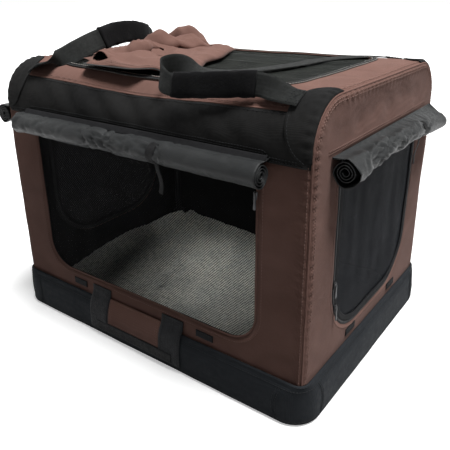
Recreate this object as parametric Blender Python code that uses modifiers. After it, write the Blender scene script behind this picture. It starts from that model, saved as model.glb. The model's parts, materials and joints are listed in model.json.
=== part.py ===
"""Soft dog crate: sewn cover on a folding steel frame, with zipped mesh doors, rolled blinds and handles.

Metres, +Z up. The long front is at -Y, the lit end panel is at +X and the base stands on z = 0.
"""

import math

import bmesh
import bpy
from mathutils import Vector

# Driving sizes of the body
BODY_HALF_X = 0.338
BODY_HALF_Y = 0.248
HEIGHT = 0.520

# Cover
TOP_RADIUS = 0.075
CORNER_RADIUS = 0.012
TOP_EDGE_RADIUS = 0.012
CLOTH = 0.003
SEAM_GAP = 0.0006
WELD = 0.00001
PANEL_FOOT = 0.006
UPPER_BAND_FOOT = HEIGHT - TOP_RADIUS - 0.009
WALL_ROW = HEIGHT / 2.6

# Base tray, board and mat
TRAY_SPREAD = 0.015
TRAY_HALF_X = BODY_HALF_X + TRAY_SPREAD
TRAY_HALF_Y = BODY_HALF_Y + TRAY_SPREAD
TRAY_HEIGHT = 0.076
TRAY_CORNER = 0.048
BOARD_INSET = 0.0115
BOARD_CORNER = 0.040
BOARD_THICKNESS = 0.008
BOARD_GAP = 0.0005
MAT_GAP = 0.0008
MAT_HALF_X = BODY_HALF_X - 0.022
MAT_HALF_Y = BODY_HALF_Y - 0.0225
MAT_CORNER = 0.055
MAT_EDGE = 0.004
MAT_HEIGHT = 0.040
MAT_QUILT = 0.0025
MAT_BACK_RIM = 0.045
MAT_LEFT_RIM = 0.020
MAT_LEFT_CLIMB = 0.070
MAT_CORNER_RIM = 0.045

# Steel frame
TUBE_RADIUS = 0.008
FIT = 0.0003
LOOP_INSET = 0.0125
LOOP_HALF_X = BODY_HALF_X - LOOP_INSET
LOOP_HALF_Y = BODY_HALF_Y - LOOP_INSET
LOOP_BEND = 0.030
LOOP_Z = 0.0113
LEG_INSET = 0.0075
LEG_X = LOOP_HALF_X - LEG_INSET
LEG_Y = LOOP_HALF_Y - LEG_INSET
LEG_FOOT = 0.0245
LEG_BEND = 0.055
FRAME_TOP = HEIGHT - 0.017
PIN_Z = 0.042
PIN_RADIUS = 0.0025
BRACKET_RADIUS = 0.0155
BRACKET_INSET = 0.0025
BRACKET_HEIGHT = 0.055
PIN_HALF = BRACKET_RADIUS * 0.8
RAIL_Y = BODY_HALF_Y - 0.098
RAIL_GAP = 0.001
CLIP_RADIUS = 0.0108
CLIP_HALF = 0.016
CLIP_SOCKET = 0.034

# Windows, doors and zips
WINDOW_CORNER = 0.060
WINDOW_TOP_CORNER = 0.004
FRONT_WINDOW_HALF = BODY_HALF_X - 0.082
END_WINDOW_HALF = BODY_HALF_Y - 0.076
FRONT_WINDOW_FOOT = TRAY_HEIGHT + 0.036
END_WINDOW_FOOT = TRAY_HEIGHT + 0.024
WINDOW_TOP = UPPER_BAND_FOOT - 0.006
WINDOW_CUT = 0.020
ZIP_WIDTH = 0.0095
ZIP_THICKNESS = 0.0022
ZIP_STOP = 0.001
ZIP_SINK = 0.0001
MESH_THICKNESS = 0.0014
MESH_DEPTH = 0.0006
MESH_TOP_GAP = 0.0025
MESH_TOP_CORNER = 0.010
HINGE_Z = WINDOW_TOP + 0.0035
HINGE_OUT = 0.0025
ROOF_WINDOW_HALF_X = BODY_HALF_X - 0.076
ROOF_WINDOW_HALF_Y = BODY_HALF_Y - 0.068
ROOF_WINDOW_CORNER = 0.050
ROOF_WINDOW_CUT = 0.030
ROOF_MESH_LAP = 0.015
ROOF_MESH_DROP = 0.0012
ROOF_ZIP_WIDTH = 0.0110
ROOF_ZIP_THICKNESS = 0.0018

# Folded roof cover
FLAP_THICKNESS = 0.0140
FLAP_EDGE = 0.002
FLAP_ROLL = 0.020
FLAP_HUMP = 0.010
FLAP_CREASE = 0.0022
FLAP_LEFT_X = -(ROOF_WINDOW_HALF_X - 0.054)
FLAP_RIGHT_X = 0.010
FLAP_SLANT = 0.075
FLAP_HALF_Y = ROOF_WINDOW_HALF_Y - 0.030

# Zip sliders
SLIDER_HALF_WIDTH = 0.0044
SLIDER_HALF_HEIGHT = 0.0095
SLIDER_CORNER = 0.0035
SLIDER_THICKNESS = 0.0042
PULL_HALF_WIDTH = 0.0036
PULL_CORNER = 0.0030
PULL_LENGTH = 0.034
PULL_LAP = 0.001
PULL_OUT = 0.0034
PULL_TOP = 0.0052
FRONT_SLIDER_Z = HINGE_Z - 0.0585
UPPER_SLIDER_Z = END_WINDOW_FOOT + 0.115
LOWER_SLIDER_Z = END_WINDOW_FOOT + 0.070

# Rolled blinds
FRONT_ROLL_RADIUS = 0.0190
END_ROLL_RADIUS = 0.0185
FRONT_ROLL_LOW = -(BODY_HALF_X - 0.054)
FRONT_ROLL_HIGH = BODY_HALF_X - 0.066
END_ROLL_LOW = -(BODY_HALF_Y - 0.052)
END_ROLL_HIGH = BODY_HALF_Y - 0.016
LEFT_ROLL_SHIFT = -0.054
FRONT_DROP = 0.0005
FRONT_DROP_MORE = 0.0010
FRONT_DROP_SPAN = BODY_HALF_X - 0.038
END_DROP = 0.0005
END_DROP_MORE = 0.0130
END_DROP_START = 0.040
ROLL_CORE = 0.0050
ROLL_TURNS = 2.5
ROLL_CLOTH = 0.0030
ROLL_OUT = 0.0030
ROLL_GAP = 0.0008
FRONT_TIE = 0.078
END_TIE = 0.110
TIE_PINCH = 0.86
TIE_GAP = 0.0005
TIE_HALF_WIDTH = 0.0090
TIE_REACH = 0.0110
TIE_SHOULDER = 0.034
TIE_START = 80.0
TIE_END = -215.0
TIE_TAIL = 0.0550
TIE_TAIL_HALF = 0.005
TIE_TAIL_BACK = 0.0006
TIE_THICKNESS = 0.0014

# Corner patches and loop tabs
PATCH_HALF_RUN = 0.070
PATCH_DEPTH = 0.044
PATCH_EDGE = 0.006
PATCH_SEAM_GAP = 0.0008
PATCH_LIFT = 0.0012
PATCH_CLOTH = 0.0015
TAB_HALF_WIDTH = 0.0185
TAB_HALF_HEIGHT = 0.0065
TAB_CORNER = 0.002
TAB_THICKNESS = 0.0015
FRONT_TAB_Z = TRAY_HEIGHT + 0.017
END_TAB_Z = TRAY_HEIGHT + 0.014

# Webbing
WEB_THICKNESS = 0.0024
HANDLE_HALF_WIDTH = 0.0200
HANDLE_AXIS_X = BODY_HALF_X - 0.0315
HANDLE_AXIS_Z = HEIGHT + 0.0038
GRIP_HALF_WIDTH = 0.0235
GRIP_HALF_THICKNESS = 0.0075
STRAP_HALF_WIDTH = 0.0250
STRAP_LEFT_X = 0.232 - BODY_HALF_X
STRAP_RIGHT_X = BODY_HALF_X - 0.262
STRAP_RUN_LOW = 0.0150
STRAP_RUN_HIGH = 0.0350
FRONT_PATCH_THICKNESS = 0.0016
FRONT_PATCH_GAP = 0.0005

ARC_LENGTH = TOP_RADIUS * math.pi / 2
S_FRONT_ARC = HEIGHT - TOP_RADIUS
S_ROOF = S_FRONT_ARC + ARC_LENGTH
S_BACK_ARC = S_ROOF + 2 * (BODY_HALF_Y - TOP_RADIUS)
S_BACK = S_BACK_ARC + ARC_LENGTH
S_END = S_BACK + S_FRONT_ARC
S_FRONT_SEAM = S_FRONT_ARC + ARC_LENGTH / 2
S_BACK_SEAM = S_BACK_ARC + ARC_LENGTH / 2

parts = None
cutters = None
materials = {}


def start_scene():
    """Empties the scene and makes the two collections."""
    global parts, cutters
    for old in list(bpy.data.objects):
        bpy.data.objects.remove(old)
    parts = bpy.data.collections.new("soft_dog_crate")
    cutters = bpy.data.collections.new("cutters")
    bpy.context.scene.collection.children.link(parts)
    bpy.context.scene.collection.children.link(cutters)


def material(name, colour, roughness, metallic=0.0):
    """Makes a Principled material once and gives it back on later calls."""
    if name not in materials:
        made = bpy.data.materials.new(name)
        made.use_nodes = True
        made.diffuse_color = (*colour, 1.0)
        shader = made.node_tree.nodes["Principled BSDF"]
        shader.inputs["Base Color"].default_value = (*colour, 1.0)
        shader.inputs["Roughness"].default_value = roughness
        shader.inputs["Metallic"].default_value = metallic
        materials[name] = made
    return materials[name]


def brown_cloth():
    """Brown woven polyester of the panels."""
    return material("brown_cloth", (0.25, 0.155, 0.125), 0.85)


def black_cloth():
    """Black woven polyester of the tray, bands and patches."""
    return material("black_cloth", (0.022, 0.023, 0.027), 0.85)


def blind_cloth():
    """Grey back of the rolled blinds."""
    return material("blind_cloth", (0.10, 0.11, 0.11), 0.75)


def webbing():
    """Black woven tape of handles and straps."""
    return material("webbing", (0.03, 0.032, 0.036), 0.8)


def steel():
    """Dark powder-coated tube."""
    return material("coated_steel", (0.05, 0.05, 0.055), 0.4, 0.6)


def plastic():
    """Black moulded plastic of brackets and clips."""
    return material("black_plastic", (0.02, 0.02, 0.02), 0.5)


def add(mesh, name, kind, smooth=True, origin=None):
    """Links a mesh to the parts under a name, with its material, shading and origin."""
    shade(mesh, smooth)
    mesh.materials.clear()
    mesh.materials.append(kind)
    made = bpy.data.objects.new(name, mesh)
    parts.objects.link(made)
    if origin is not None:
        place = Vector(origin)
        for vertex in mesh.vertices:
            vertex.co -= place
        made.location = place
    return made


def add_cutter(mesh, name):
    """Links a mesh to the cutters, which only Boolean modifiers use."""
    made = bpy.data.objects.new(name, mesh)
    made.display_type = "WIRE"
    made.hide_render = True
    cutters.objects.link(made)
    return made


def shade(mesh, smooth):
    """Sets smooth or flat shading on each face."""
    for face in mesh.polygons:
        face.use_smooth = smooth


def closed_mesh(name, points, faces):
    """Makes a mesh whose faces look outward."""
    mesh = bpy.data.meshes.new(name)
    mesh.from_pydata([tuple(p) for p in points], [], faces)
    work = bmesh.new()
    work.from_mesh(mesh)
    bmesh.ops.recalc_face_normals(work, faces=work.faces)
    work.to_mesh(mesh)
    work.free()
    return mesh


def solidify(made, thickness):
    """Thickens an open sheet to its inner side."""
    layer = made.modifiers.new("cloth", "SOLIDIFY")
    layer.thickness = thickness
    layer.offset = -1.0
    layer.use_even_offset = True


def boolean(made, cutter, operation="DIFFERENCE"):
    """Adds an exact Boolean modifier."""
    cut = made.modifiers.new("cut", "BOOLEAN")
    cut.operation = operation
    cut.solver = "EXACT"
    cut.object = cutter


def spread(low, high, count):
    """Evenly spaced values with both ends."""
    return [low + (high - low) * i / (count - 1) for i in range(count)]


def profile(s):
    """Point (y, z) and outward normal of the body's section, s metres along it from the front foot."""
    inner = BODY_HALF_Y - TOP_RADIUS
    if s <= S_FRONT_ARC:
        return Vector((0, -BODY_HALF_Y, s)), Vector((0, -1, 0))
    if s < S_ROOF:
        turn = (s - S_FRONT_ARC) / TOP_RADIUS
        normal = Vector((0, -math.cos(turn), math.sin(turn)))
        return Vector((0, -inner, S_FRONT_ARC)) + normal * TOP_RADIUS, normal
    if s <= S_BACK_ARC:
        return Vector((0, -inner + s - S_ROOF, HEIGHT)), Vector((0, 0, 1))
    if s < S_BACK:
        turn = (s - S_BACK_ARC) / TOP_RADIUS
        normal = Vector((0, math.sin(turn), math.cos(turn)))
        return Vector((0, inner, S_FRONT_ARC)) + normal * TOP_RADIUS, normal
    return Vector((0, BODY_HALF_Y, S_END - s)), Vector((0, 1, 0))


def edge_radius(s):
    """Radius between the long faces and the end panels: larger on the upright corners than on the roof."""
    middle = min(s, S_END - s)
    share = min(max((middle - S_FRONT_ARC) / ARC_LENGTH, 0.0), 1.0)
    return CORNER_RADIUS + (TOP_EDGE_RADIUS - CORNER_RADIUS) * share


def seam_reach(s):
    """Distance from the middle of a long face to its seam with an end panel, along the cloth."""
    radius = edge_radius(s)
    return BODY_HALF_X - radius + radius * math.pi / 4


def shell_point(s, v, lift=0.0):
    """Point of the cover, v metres from its middle along the cloth, raised by lift."""
    point, normal = profile(s)
    radius = edge_radius(s)
    flat = BODY_HALF_X - radius
    side = math.copysign(1.0, v)
    if abs(v) <= flat:
        return point + normal * lift + Vector((v, 0, 0))
    turn = (abs(v) - flat) / radius
    out = Vector((side * math.sin(turn), 0, 0)) + normal * math.cos(turn)
    return point - normal * radius + Vector((side * flat, 0, 0)) + out * (radius + lift)


def grid_faces(rows, columns):
    """Quads of a grid whose points are listed row by row."""
    faces = []
    for i in range(rows - 1):
        for j in range(columns - 1):
            a = i * columns + j
            faces.append((a, a + 1, a + columns + 1, a + columns))
    return faces


def long_sheet(name, stations, kind):
    """Sheet of the cover between its two end seams."""
    points = []
    for s in stations:
        radius = edge_radius(s)
        flat = BODY_HALF_X - radius
        reach = seam_reach(s) - SEAM_GAP
        right = [flat, flat + (reach - flat) / 3, flat + (reach - flat) * 2 / 3, reach]
        across = [-v for v in reversed(right)] + [0.0] + right
        points += [shell_point(s, v) for v in across]
    columns = 9
    mesh = bpy.data.meshes.new(name)
    faces = [tuple(reversed(f)) for f in grid_faces(len(stations), columns)]
    mesh.from_pydata([tuple(p) for p in points], [], faces)
    made = add(mesh, name, kind)
    turn_outward(mesh, Vector((0, 0, HEIGHT / 2)))
    solidify(made, CLOTH)
    return made


def turn_outward(mesh, centre):
    """Flips an open sheet if it looks toward the centre of the crate."""
    mesh.update()
    facing = sum((f.center - centre).dot(f.normal) * f.area for f in mesh.polygons)
    if facing < 0:
        mesh.flip_normals()


def end_sheet(name, side, kind):
    """End panel: a flat face with a rounded rim that meets the long sheets at the seams."""
    stations = [PANEL_FOOT, WALL_ROW, S_FRONT_ARC]
    stations += spread(S_FRONT_ARC, S_ROOF, 8)[1:]
    stations += [(S_ROOF + S_BACK_ARC) / 2]
    stations += spread(S_BACK_ARC, S_BACK, 8)
    stations += [S_END - WALL_ROW, S_END - PANEL_FOOT]
    turns = [math.pi / 4, math.pi / 3, math.pi * 5 / 12, math.pi / 2]
    points = []
    for s in stations:
        radius = edge_radius(s)
        flat = BODY_HALF_X - radius
        for turn in turns:
            start = SEAM_GAP if turn == turns[0] else 0.0
            points.append(shell_point(s, side * (flat + radius * turn + start)))
    columns = len(turns)
    faces = grid_faces(len(stations), columns)
    faces.append(tuple(i * columns + columns - 1 for i in range(len(stations))))
    mesh = closed_mesh(name, points, faces)
    made = add(mesh, name, kind)
    turn_outward(mesh, Vector((0, 0, HEIGHT / 2)))
    solidify(made, CLOTH)
    return made


def rounded_outline(half_a, low_b, high_b, radius, steps=6, top_radius=None):
    """Points of a rounded rectangle, counter-clockwise from its lower right corner."""
    upper = radius if top_radius is None else top_radius
    corners = [
        (half_a - radius, low_b + radius, radius, -90.0),
        (half_a - upper, high_b - upper, upper, 0.0),
        (-half_a + upper, high_b - upper, upper, 90.0),
        (-half_a + radius, low_b + radius, radius, 180.0),
    ]
    points = []
    for a, b, r, start in corners:
        for i in range(steps + 1):
            turn = math.radians(start + 90.0 * i / steps)
            points.append((a + r * math.cos(turn), b + r * math.sin(turn)))
    return points


def on_plane(plane, a, b, depth):
    """Point of an upright wall or a flat layer: the front at -Y, an end at +X or -X, or the roof."""
    if plane == "front":
        return Vector((a, -depth, b))
    if plane == "right":
        return Vector((depth, a, b))
    if plane == "left":
        return Vector((-depth, a, b))
    return Vector((a, b, depth))


def plate_mesh(name, plane, outline, low, high):
    """Flat plate with the outline given, between two depths."""
    count = len(outline)
    points = [on_plane(plane, a, b, low) for a, b in outline]
    points += [on_plane(plane, a, b, high) for a, b in outline]
    faces = [tuple(range(count)), tuple(range(2 * count - 1, count - 1, -1))]
    for i in range(count):
        j = (i + 1) % count
        faces.append((i, j, count + j, count + i))
    return closed_mesh(name, points, faces)


def strip_mesh(name, plane, path, half_width, low, high, closed=False):
    """Flat tape that follows a path in a plane."""
    count = len(path)
    rails = [[], []]
    for i, (a, b) in enumerate(path):
        before = path[(i - 1) % count] if closed or i > 0 else path[i]
        after = path[(i + 1) % count] if closed or i < count - 1 else path[i]
        run = Vector((after[0] - before[0], after[1] - before[1])).normalized()
        for rail, side in zip(rails, (-1, 1)):
            rail.append((a - run[1] * half_width * side, b + run[0] * half_width * side))
    points = []
    for i in range(count):
        for rail, depth in ((0, low), (1, low), (1, high), (0, high)):
            points.append(on_plane(plane, *rails[rail][i], depth))
    faces = []
    for i in range(count if closed else count - 1):
        j = (i + 1) % count
        for k in range(4):
            m = (k + 1) % 4
            faces.append((4 * i + k, 4 * i + m, 4 * j + m, 4 * j + k))
    if not closed:
        faces.append((0, 1, 2, 3))
        last = 4 * (count - 1)
        faces.append((last + 3, last + 2, last + 1, last))
    return closed_mesh(name, points, faces)


def bent_path(corners, radius, steps=6, cyclic=False):
    """Polyline through the corners given, with each inner corner rounded."""
    count = len(corners)
    path = []
    for i, corner in enumerate(corners):
        corner = Vector(corner)
        if not cyclic and i in (0, count - 1):
            path.append(corner)
            continue
        before = (Vector(corners[(i - 1) % count]) - corner).normalized()
        after = (Vector(corners[(i + 1) % count]) - corner).normalized()
        opening = before.angle(after)
        setback = radius / math.tan(opening / 2)
        centre = corner + (before + after).normalized() * radius / math.sin(opening / 2)
        start = corner + before * setback - centre
        end = corner + after * setback - centre
        sweep = start.angle(end)
        for k in range(steps + 1):
            share = k / steps
            mix = start * math.sin((1 - share) * sweep) + end * math.sin(share * sweep)
            path.append(centre + mix / math.sin(sweep))
    return path


def tube_mesh(name, path, radius, cyclic=False):
    """Mesh of a bevelled curve with filled ends."""
    curve = bpy.data.curves.new(name, "CURVE")
    curve.dimensions = "3D"
    curve.bevel_depth = radius
    curve.bevel_resolution = 3
    curve.use_fill_caps = not cyclic
    spline = curve.splines.new("POLY")
    spline.points.add(len(path) - 1)
    for point, place in zip(spline.points, path):
        point.co = (*place, 1.0)
    spline.use_cyclic_u = cyclic
    holder = bpy.data.objects.new(name, curve)
    cutters.objects.link(holder)
    graph = bpy.context.evaluated_depsgraph_get()
    mesh = bpy.data.meshes.new_from_object(holder.evaluated_get(graph))
    bpy.data.objects.remove(holder)
    bpy.data.curves.remove(curve)
    work = bmesh.new()
    work.from_mesh(mesh)
    bmesh.ops.remove_doubles(work, verts=work.verts, dist=WELD)
    bmesh.ops.recalc_face_normals(work, faces=work.faces)
    work.to_mesh(mesh)
    work.free()
    return mesh


def cylinder_mesh(name, start, end, radius, sides=16):
    """Closed cylinder between two points."""
    start = Vector(start)
    end = Vector(end)
    run = end - start
    work = bmesh.new()
    bmesh.ops.create_cone(
        work, cap_ends=True, segments=sides, radius1=radius, radius2=radius, depth=run.length
    )
    turn = run.to_track_quat("Z", "Y").to_matrix()
    for vertex in work.verts:
        vertex.co = turn @ vertex.co + (start + end) / 2
    mesh = bpy.data.meshes.new(name)
    work.to_mesh(mesh)
    work.free()
    return mesh


def box_mesh(name, low, high):
    """Closed box between two corners."""
    points = [
        (x, y, z) for z in (low[2], high[2]) for y in (low[1], high[1]) for x in (low[0], high[0])
    ]
    faces = [(0, 1, 3, 2), (4, 6, 7, 5), (0, 4, 5, 1), (2, 3, 7, 6), (0, 2, 6, 4), (1, 5, 7, 3)]
    return closed_mesh(name, points, faces)


def loft_mesh(name, rings):
    """Closed body through rings of equal point counts."""
    count = len(rings[0])
    points = [p for ring in rings for p in ring]
    faces = []
    for i in range(len(rings) - 1):
        for j in range(count):
            k = (j + 1) % count
            faces.append((i * count + j, i * count + k, (i + 1) * count + k, (i + 1) * count + j))
    faces.append(tuple(range(count)))
    faces.append(tuple(range(len(points) - 1, len(points) - count - 1, -1)))
    return closed_mesh(name, points, faces)


def smooth_keys(keys, steps):
    """Catmull-Rom run through (point, width direction) keys."""
    out = []
    for i in range(len(keys) - 1):
        around = [keys[max(i - 1, 0)], keys[i], keys[i + 1], keys[min(i + 2, len(keys) - 1)]]
        for k in range(steps):
            t = k / steps
            out.append(tuple(catmull(*[Vector(key[part]) for key in around], t) for part in (0, 1)))
    last = keys[-1]
    out.append((Vector(last[0]), Vector(last[1])))
    return out


def catmull(a, b, c, d, t):
    """One point of a Catmull-Rom run between b and c."""
    cubic = (3 * b - a - 3 * c + d) * t ** 3
    square = (2 * a - 5 * b + 4 * c - d) * t ** 2
    return (2 * b + (c - a) * t + square + cubic) / 2


def web_frames(keys, steps):
    """Point, width direction and normal along a piece of webbing."""
    run = smooth_keys(keys, steps)
    frames = []
    for i, (point, width) in enumerate(run):
        before = run[max(i - 1, 0)][0]
        after = run[min(i + 1, len(run) - 1)][0]
        tangent = (after - before).normalized()
        across = (width - tangent * width.dot(tangent)).normalized()
        frames.append((point, across, tangent.cross(across)))
    return frames


def web_ring(frame, half_width, half_thickness):
    """Four corners of a flat section of webbing."""
    point, across, normal = frame
    signs = ((-1, -1), (1, -1), (1, 1), (-1, 1))
    return [point + across * half_width * a + normal * half_thickness * b for a, b in signs]


def web_mesh(name, keys, half_width, thickness=WEB_THICKNESS, steps=4):
    """Closed piece of webbing along keys."""
    return loft_mesh(name, [web_ring(f, half_width, thickness / 2) for f in web_frames(keys, steps)])


def grip_ring(frame, half_width, half_thickness):
    """Rounded section of a padded grip."""
    point, across, normal = frame
    ring = []
    for i in range(16):
        turn = 2 * math.pi * i / 16
        a = math.copysign(abs(math.cos(turn)) ** 0.45, math.cos(turn))
        b = math.copysign(abs(math.sin(turn)) ** 0.7, math.sin(turn))
        ring.append(point + across * half_width * a + normal * half_thickness * b)
    return ring


def grip_mesh(name, frames):
    """Padded sleeve round a run of webbing, open for the webbing inside."""
    bore_width = HANDLE_HALF_WIDTH + FIT * 2
    bore_thickness = WEB_THICKNESS / 2 + FIT * 2
    rings = []
    for i, frame in enumerate(frames):
        end = i in (0, len(frames) - 1)
        size = 0.9 if end else 1.0
        rings.append(grip_ring(frame, GRIP_HALF_WIDTH * size, GRIP_HALF_THICKNESS * size))
    bores = []
    for frame in frames:
        point, across, normal = frame
        ring = []
        for i in range(16):
            turn = 2 * math.pi * i / 16
            a = max(-1.0, min(1.0, math.cos(turn) * 1.6))
            b = max(-1.0, min(1.0, math.sin(turn) * 1.6))
            ring.append(point + across * bore_width * a + normal * bore_thickness * b)
        bores.append(ring)
    count = 16
    points = [p for ring in rings + bores for p in ring]
    rows = len(rings)
    faces = []
    for i in range(rows - 1):
        for j in range(count):
            k = (j + 1) % count
            a, b = i * count, (i + 1) * count
            faces.append((a + j, a + k, b + k, b + j))
            a, b = (rows + i) * count, (rows + i + 1) * count
            faces.append((a + k, a + j, b + j, b + k))
    for j in range(count):
        k = (j + 1) % count
        faces.append((j, rows * count + j, rows * count + k, k))
        a, b = (rows - 1) * count, (2 * rows - 1) * count
        faces.append((a + j, a + k, b + k, b + j))
    return closed_mesh(name, points, faces)


def build_frame():
    """Base loop, two folding U-frames, two roof rails, four brackets and four clips."""
    corners = [
        (LOOP_HALF_X, -LOOP_HALF_Y, LOOP_Z),
        (LOOP_HALF_X, LOOP_HALF_Y, LOOP_Z),
        (-LOOP_HALF_X, LOOP_HALF_Y, LOOP_Z),
        (-LOOP_HALF_X, -LOOP_HALF_Y, LOOP_Z),
    ]
    loop_path = bent_path(corners, LOOP_BEND, cyclic=True)
    add(tube_mesh("base_tube_loop", loop_path, TUBE_RADIUS, True), "base_tube_loop", steel())
    groove = add_cutter(tube_mesh("groove", loop_path, TUBE_RADIUS + FIT, True), "bracket_groove")
    for side, x in (("left", -LEG_X), ("right", LEG_X)):
        path = bent_path(
            [
                (x, -LEG_Y, LEG_FOOT),
                (x, -LEG_Y, FRAME_TOP),
                (x, LEG_Y, FRAME_TOP),
                (x, LEG_Y, LEG_FOOT),
            ],
            LEG_BEND,
        )
        name = side + "_u_frame"
        frame = add(tube_mesh(name, path, TUBE_RADIUS), name, steel())
        below = Vector((0, 0, -FIT))
        bore_path = [path[0] + below] + path[1:-1] + [path[-1] + below]
        bore_mesh = tube_mesh(name + "_bore", bore_path, TUBE_RADIUS + FIT)
        bore = add_cutter(bore_mesh, name + "_bore")
        for end, y in (("front", -LEG_Y), ("back", LEG_Y)):
            pin_low = (x, y - PIN_HALF, PIN_Z)
            pin_high = (x, y + PIN_HALF, PIN_Z)
            pin = cylinder_mesh("pin", pin_low, pin_high, PIN_RADIUS, 12)
            boolean(frame, add_cutter(pin, "pin_" + end + "_" + side), "UNION")
            build_bracket(side, end, x, y, groove, bore)
    for end, y in (("front", -RAIL_Y), ("back", RAIL_Y)):
        reach = LEG_X - TUBE_RADIUS - RAIL_GAP
        name = end + "_roof_rail"
        path = [(-reach, y, FRAME_TOP), (reach, y, FRAME_TOP)]
        add(tube_mesh(name, path, TUBE_RADIUS), name, steel())
        for side, sign in (("left", -1), ("right", 1)):
            build_clip(side, end, sign, y)


def build_bracket(side, end, x, y, groove, bore):
    """Moulded hinge bracket that sits on the base loop and holds the foot of a U-frame leg."""
    sign_x = math.copysign(1.0, x)
    sign_y = math.copysign(1.0, y)
    centre_x = x - sign_x * BRACKET_INSET
    centre_y = y - sign_y * BRACKET_INSET
    name = end + "_" + side + "_hinge_bracket"
    low = (centre_x, centre_y, LOOP_Z)
    high = (centre_x, centre_y, BRACKET_HEIGHT)
    bracket = add(cylinder_mesh(name, low, high, BRACKET_RADIUS, 24), name, plastic(), False)
    boolean(bracket, groove)
    boolean(bracket, bore)
    slot_half = TUBE_RADIUS + FIT * 2
    slot_end = x - sign_x * 2 * BRACKET_RADIUS
    slot_low = (min(x, slot_end), y - slot_half, LEG_FOOT + TUBE_RADIUS)
    slot_high = (max(x, slot_end), y + slot_half, BRACKET_HEIGHT + TUBE_RADIUS)
    boolean(bracket, add_cutter(box_mesh("slot", slot_low, slot_high), name + "_slot"))
    reach = PIN_HALF + FIT
    hole = cylinder_mesh(
        "hole", (x, y - reach, PIN_Z), (x, y + reach, PIN_Z), PIN_RADIUS + FIT, 12
    )
    boolean(bracket, add_cutter(hole, name + "_pin_hole"))


def build_clip(side, end, sign, y):
    """Moulded clip that joins a roof rail to the bar of a U-frame."""
    name = end + "_" + side + "_rail_clip"
    x = sign * LEG_X
    inner = sign * (LEG_X - CLIP_SOCKET)
    sleeve_low = (x, y - CLIP_HALF, FRAME_TOP)
    sleeve_high = (x, y + CLIP_HALF, FRAME_TOP)
    clip_mesh = cylinder_mesh(name, sleeve_low, sleeve_high, CLIP_RADIUS)
    clip = add(clip_mesh, name, plastic())
    socket = cylinder_mesh("socket", (inner, y, FRAME_TOP), (x, y, FRAME_TOP), CLIP_RADIUS - 0.0002)
    boolean(clip, add_cutter(socket, name + "_socket"), "UNION")
    bore = TUBE_RADIUS + FIT
    low = (x, y - 2 * CLIP_HALF, FRAME_TOP)
    high = (x, y + 2 * CLIP_HALF, FRAME_TOP)
    boolean(clip, add_cutter(cylinder_mesh("bar_bore", low, high, bore), name + "_bar_bore"))
    low = (sign * (LEG_X - CLIP_SOCKET - CLIP_HALF), y, FRAME_TOP)
    high = (sign * (LEG_X - TUBE_RADIUS / 2), y, FRAME_TOP)
    boolean(clip, add_cutter(cylinder_mesh("rail_bore", low, high, bore), name + "_rail_bore"))


def build_base():
    """Fabric tray, base board and fleece mat."""
    levels = [
        (0.0000, 0.006, 0.006),
        (0.0060, 0.001, 0.002),
        (0.0300, 0.000, 0.000),
        (TRAY_HEIGHT - 0.018, 0.002, 0.004),
        (TRAY_HEIGHT - 0.006, 0.0075, 0.021),
        (TRAY_HEIGHT, 0.0115, 0.033),
    ]
    rings = []
    for z, inset, sharper in levels:
        half_y = TRAY_HALF_Y - inset
        outline = rounded_outline(TRAY_HALF_X - inset, -half_y, half_y, TRAY_CORNER - sharper)
        rings.append([Vector((a, b, z)) for a, b in outline])
    count = len(rings[0])
    points = [p for ring in rings for p in ring]
    faces = [tuple(range(count))]
    for i in range(len(rings) - 1):
        for j in range(count):
            k = (j + 1) % count
            faces.append((i * count + j, i * count + k, (i + 1) * count + k, (i + 1) * count + j))
    mesh = closed_mesh("base_tray", points, faces)
    turn_outward(mesh, Vector((0, 0, TRAY_HEIGHT / 2)))
    solidify(add(mesh, "base_tray", black_cloth()), CLOTH)
    low = CLOTH + BOARD_GAP
    half_y = LOOP_HALF_Y - BOARD_INSET
    outline = rounded_outline(LOOP_HALF_X - BOARD_INSET, -half_y, half_y, BOARD_CORNER)
    board = plate_mesh("base_board", "roof", outline, low, low + BOARD_THICKNESS)
    add(board, "base_board", material("grey_board", (0.16, 0.15, 0.14), 0.8), False)
    build_mat(low + BOARD_THICKNESS + MAT_GAP)


def smooth_step(value):
    """Runs from 0 to 1 with flat ends."""
    t = min(max(value, 0.0), 1.0)
    return t * t * (3 - 2 * t)


def mat_height(a, b):
    """Height of the mat over its underside at a place on it, from -1 to 1 each way."""
    back = (MAT_BACK_RIM + MAT_CORNER_RIM * max(0.0, -a)) * smooth_step((b - 0.55) / 0.40)
    left = (MAT_LEFT_RIM + MAT_LEFT_CLIMB * max(0.0, b)) * smooth_step((-a - 0.62) / 0.34)
    quilt = MAT_QUILT * math.sin(a * 13.0) * math.cos(b * 9.0)
    edge = min(max(abs(a), abs(b)), 1.0)
    return MAT_EDGE + (MAT_HEIGHT + max(back, left) + quilt) * math.sqrt(1 - edge ** 10)


def build_mat(low):
    """Fleece mat: a soft pad with a rim that climbs the back and the left wall."""
    columns = 24
    rows = 18
    top = []
    base = []
    for j in range(rows):
        for i in range(columns):
            a = -1 + 2 * i / (columns - 1)
            b = -1 + 2 * j / (rows - 1)
            x, y = squircle(a, b)
            top.append(Vector((x, y, low + mat_height(a, b))))
            base.append(Vector((x, y, low)))
    mesh = pad_mesh("fleece_mat", top, base, rows, columns)
    add(mesh, "fleece_mat", material("cream_fleece", (0.55, 0.55, 0.47), 0.95))


def pad_mesh(name, top, base, rows, columns):
    """Closed pad between two grids of points that share their rim's plan."""
    shift = rows * columns
    faces = grid_faces(rows, columns)
    under = [tuple(shift + k for k in reversed(face)) for face in faces]
    loop = list(range(columns))
    loop += [j * columns + columns - 1 for j in range(1, rows)]
    loop += [(rows - 1) * columns + i for i in range(columns - 2, -1, -1)]
    loop += [j * columns for j in range(rows - 2, 0, -1)]
    walls = []
    for k, a in enumerate(loop):
        b = loop[(k + 1) % len(loop)]
        walls.append((a, b, b + shift, a + shift))
    return closed_mesh(name, top + base, faces + under + walls)


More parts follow.
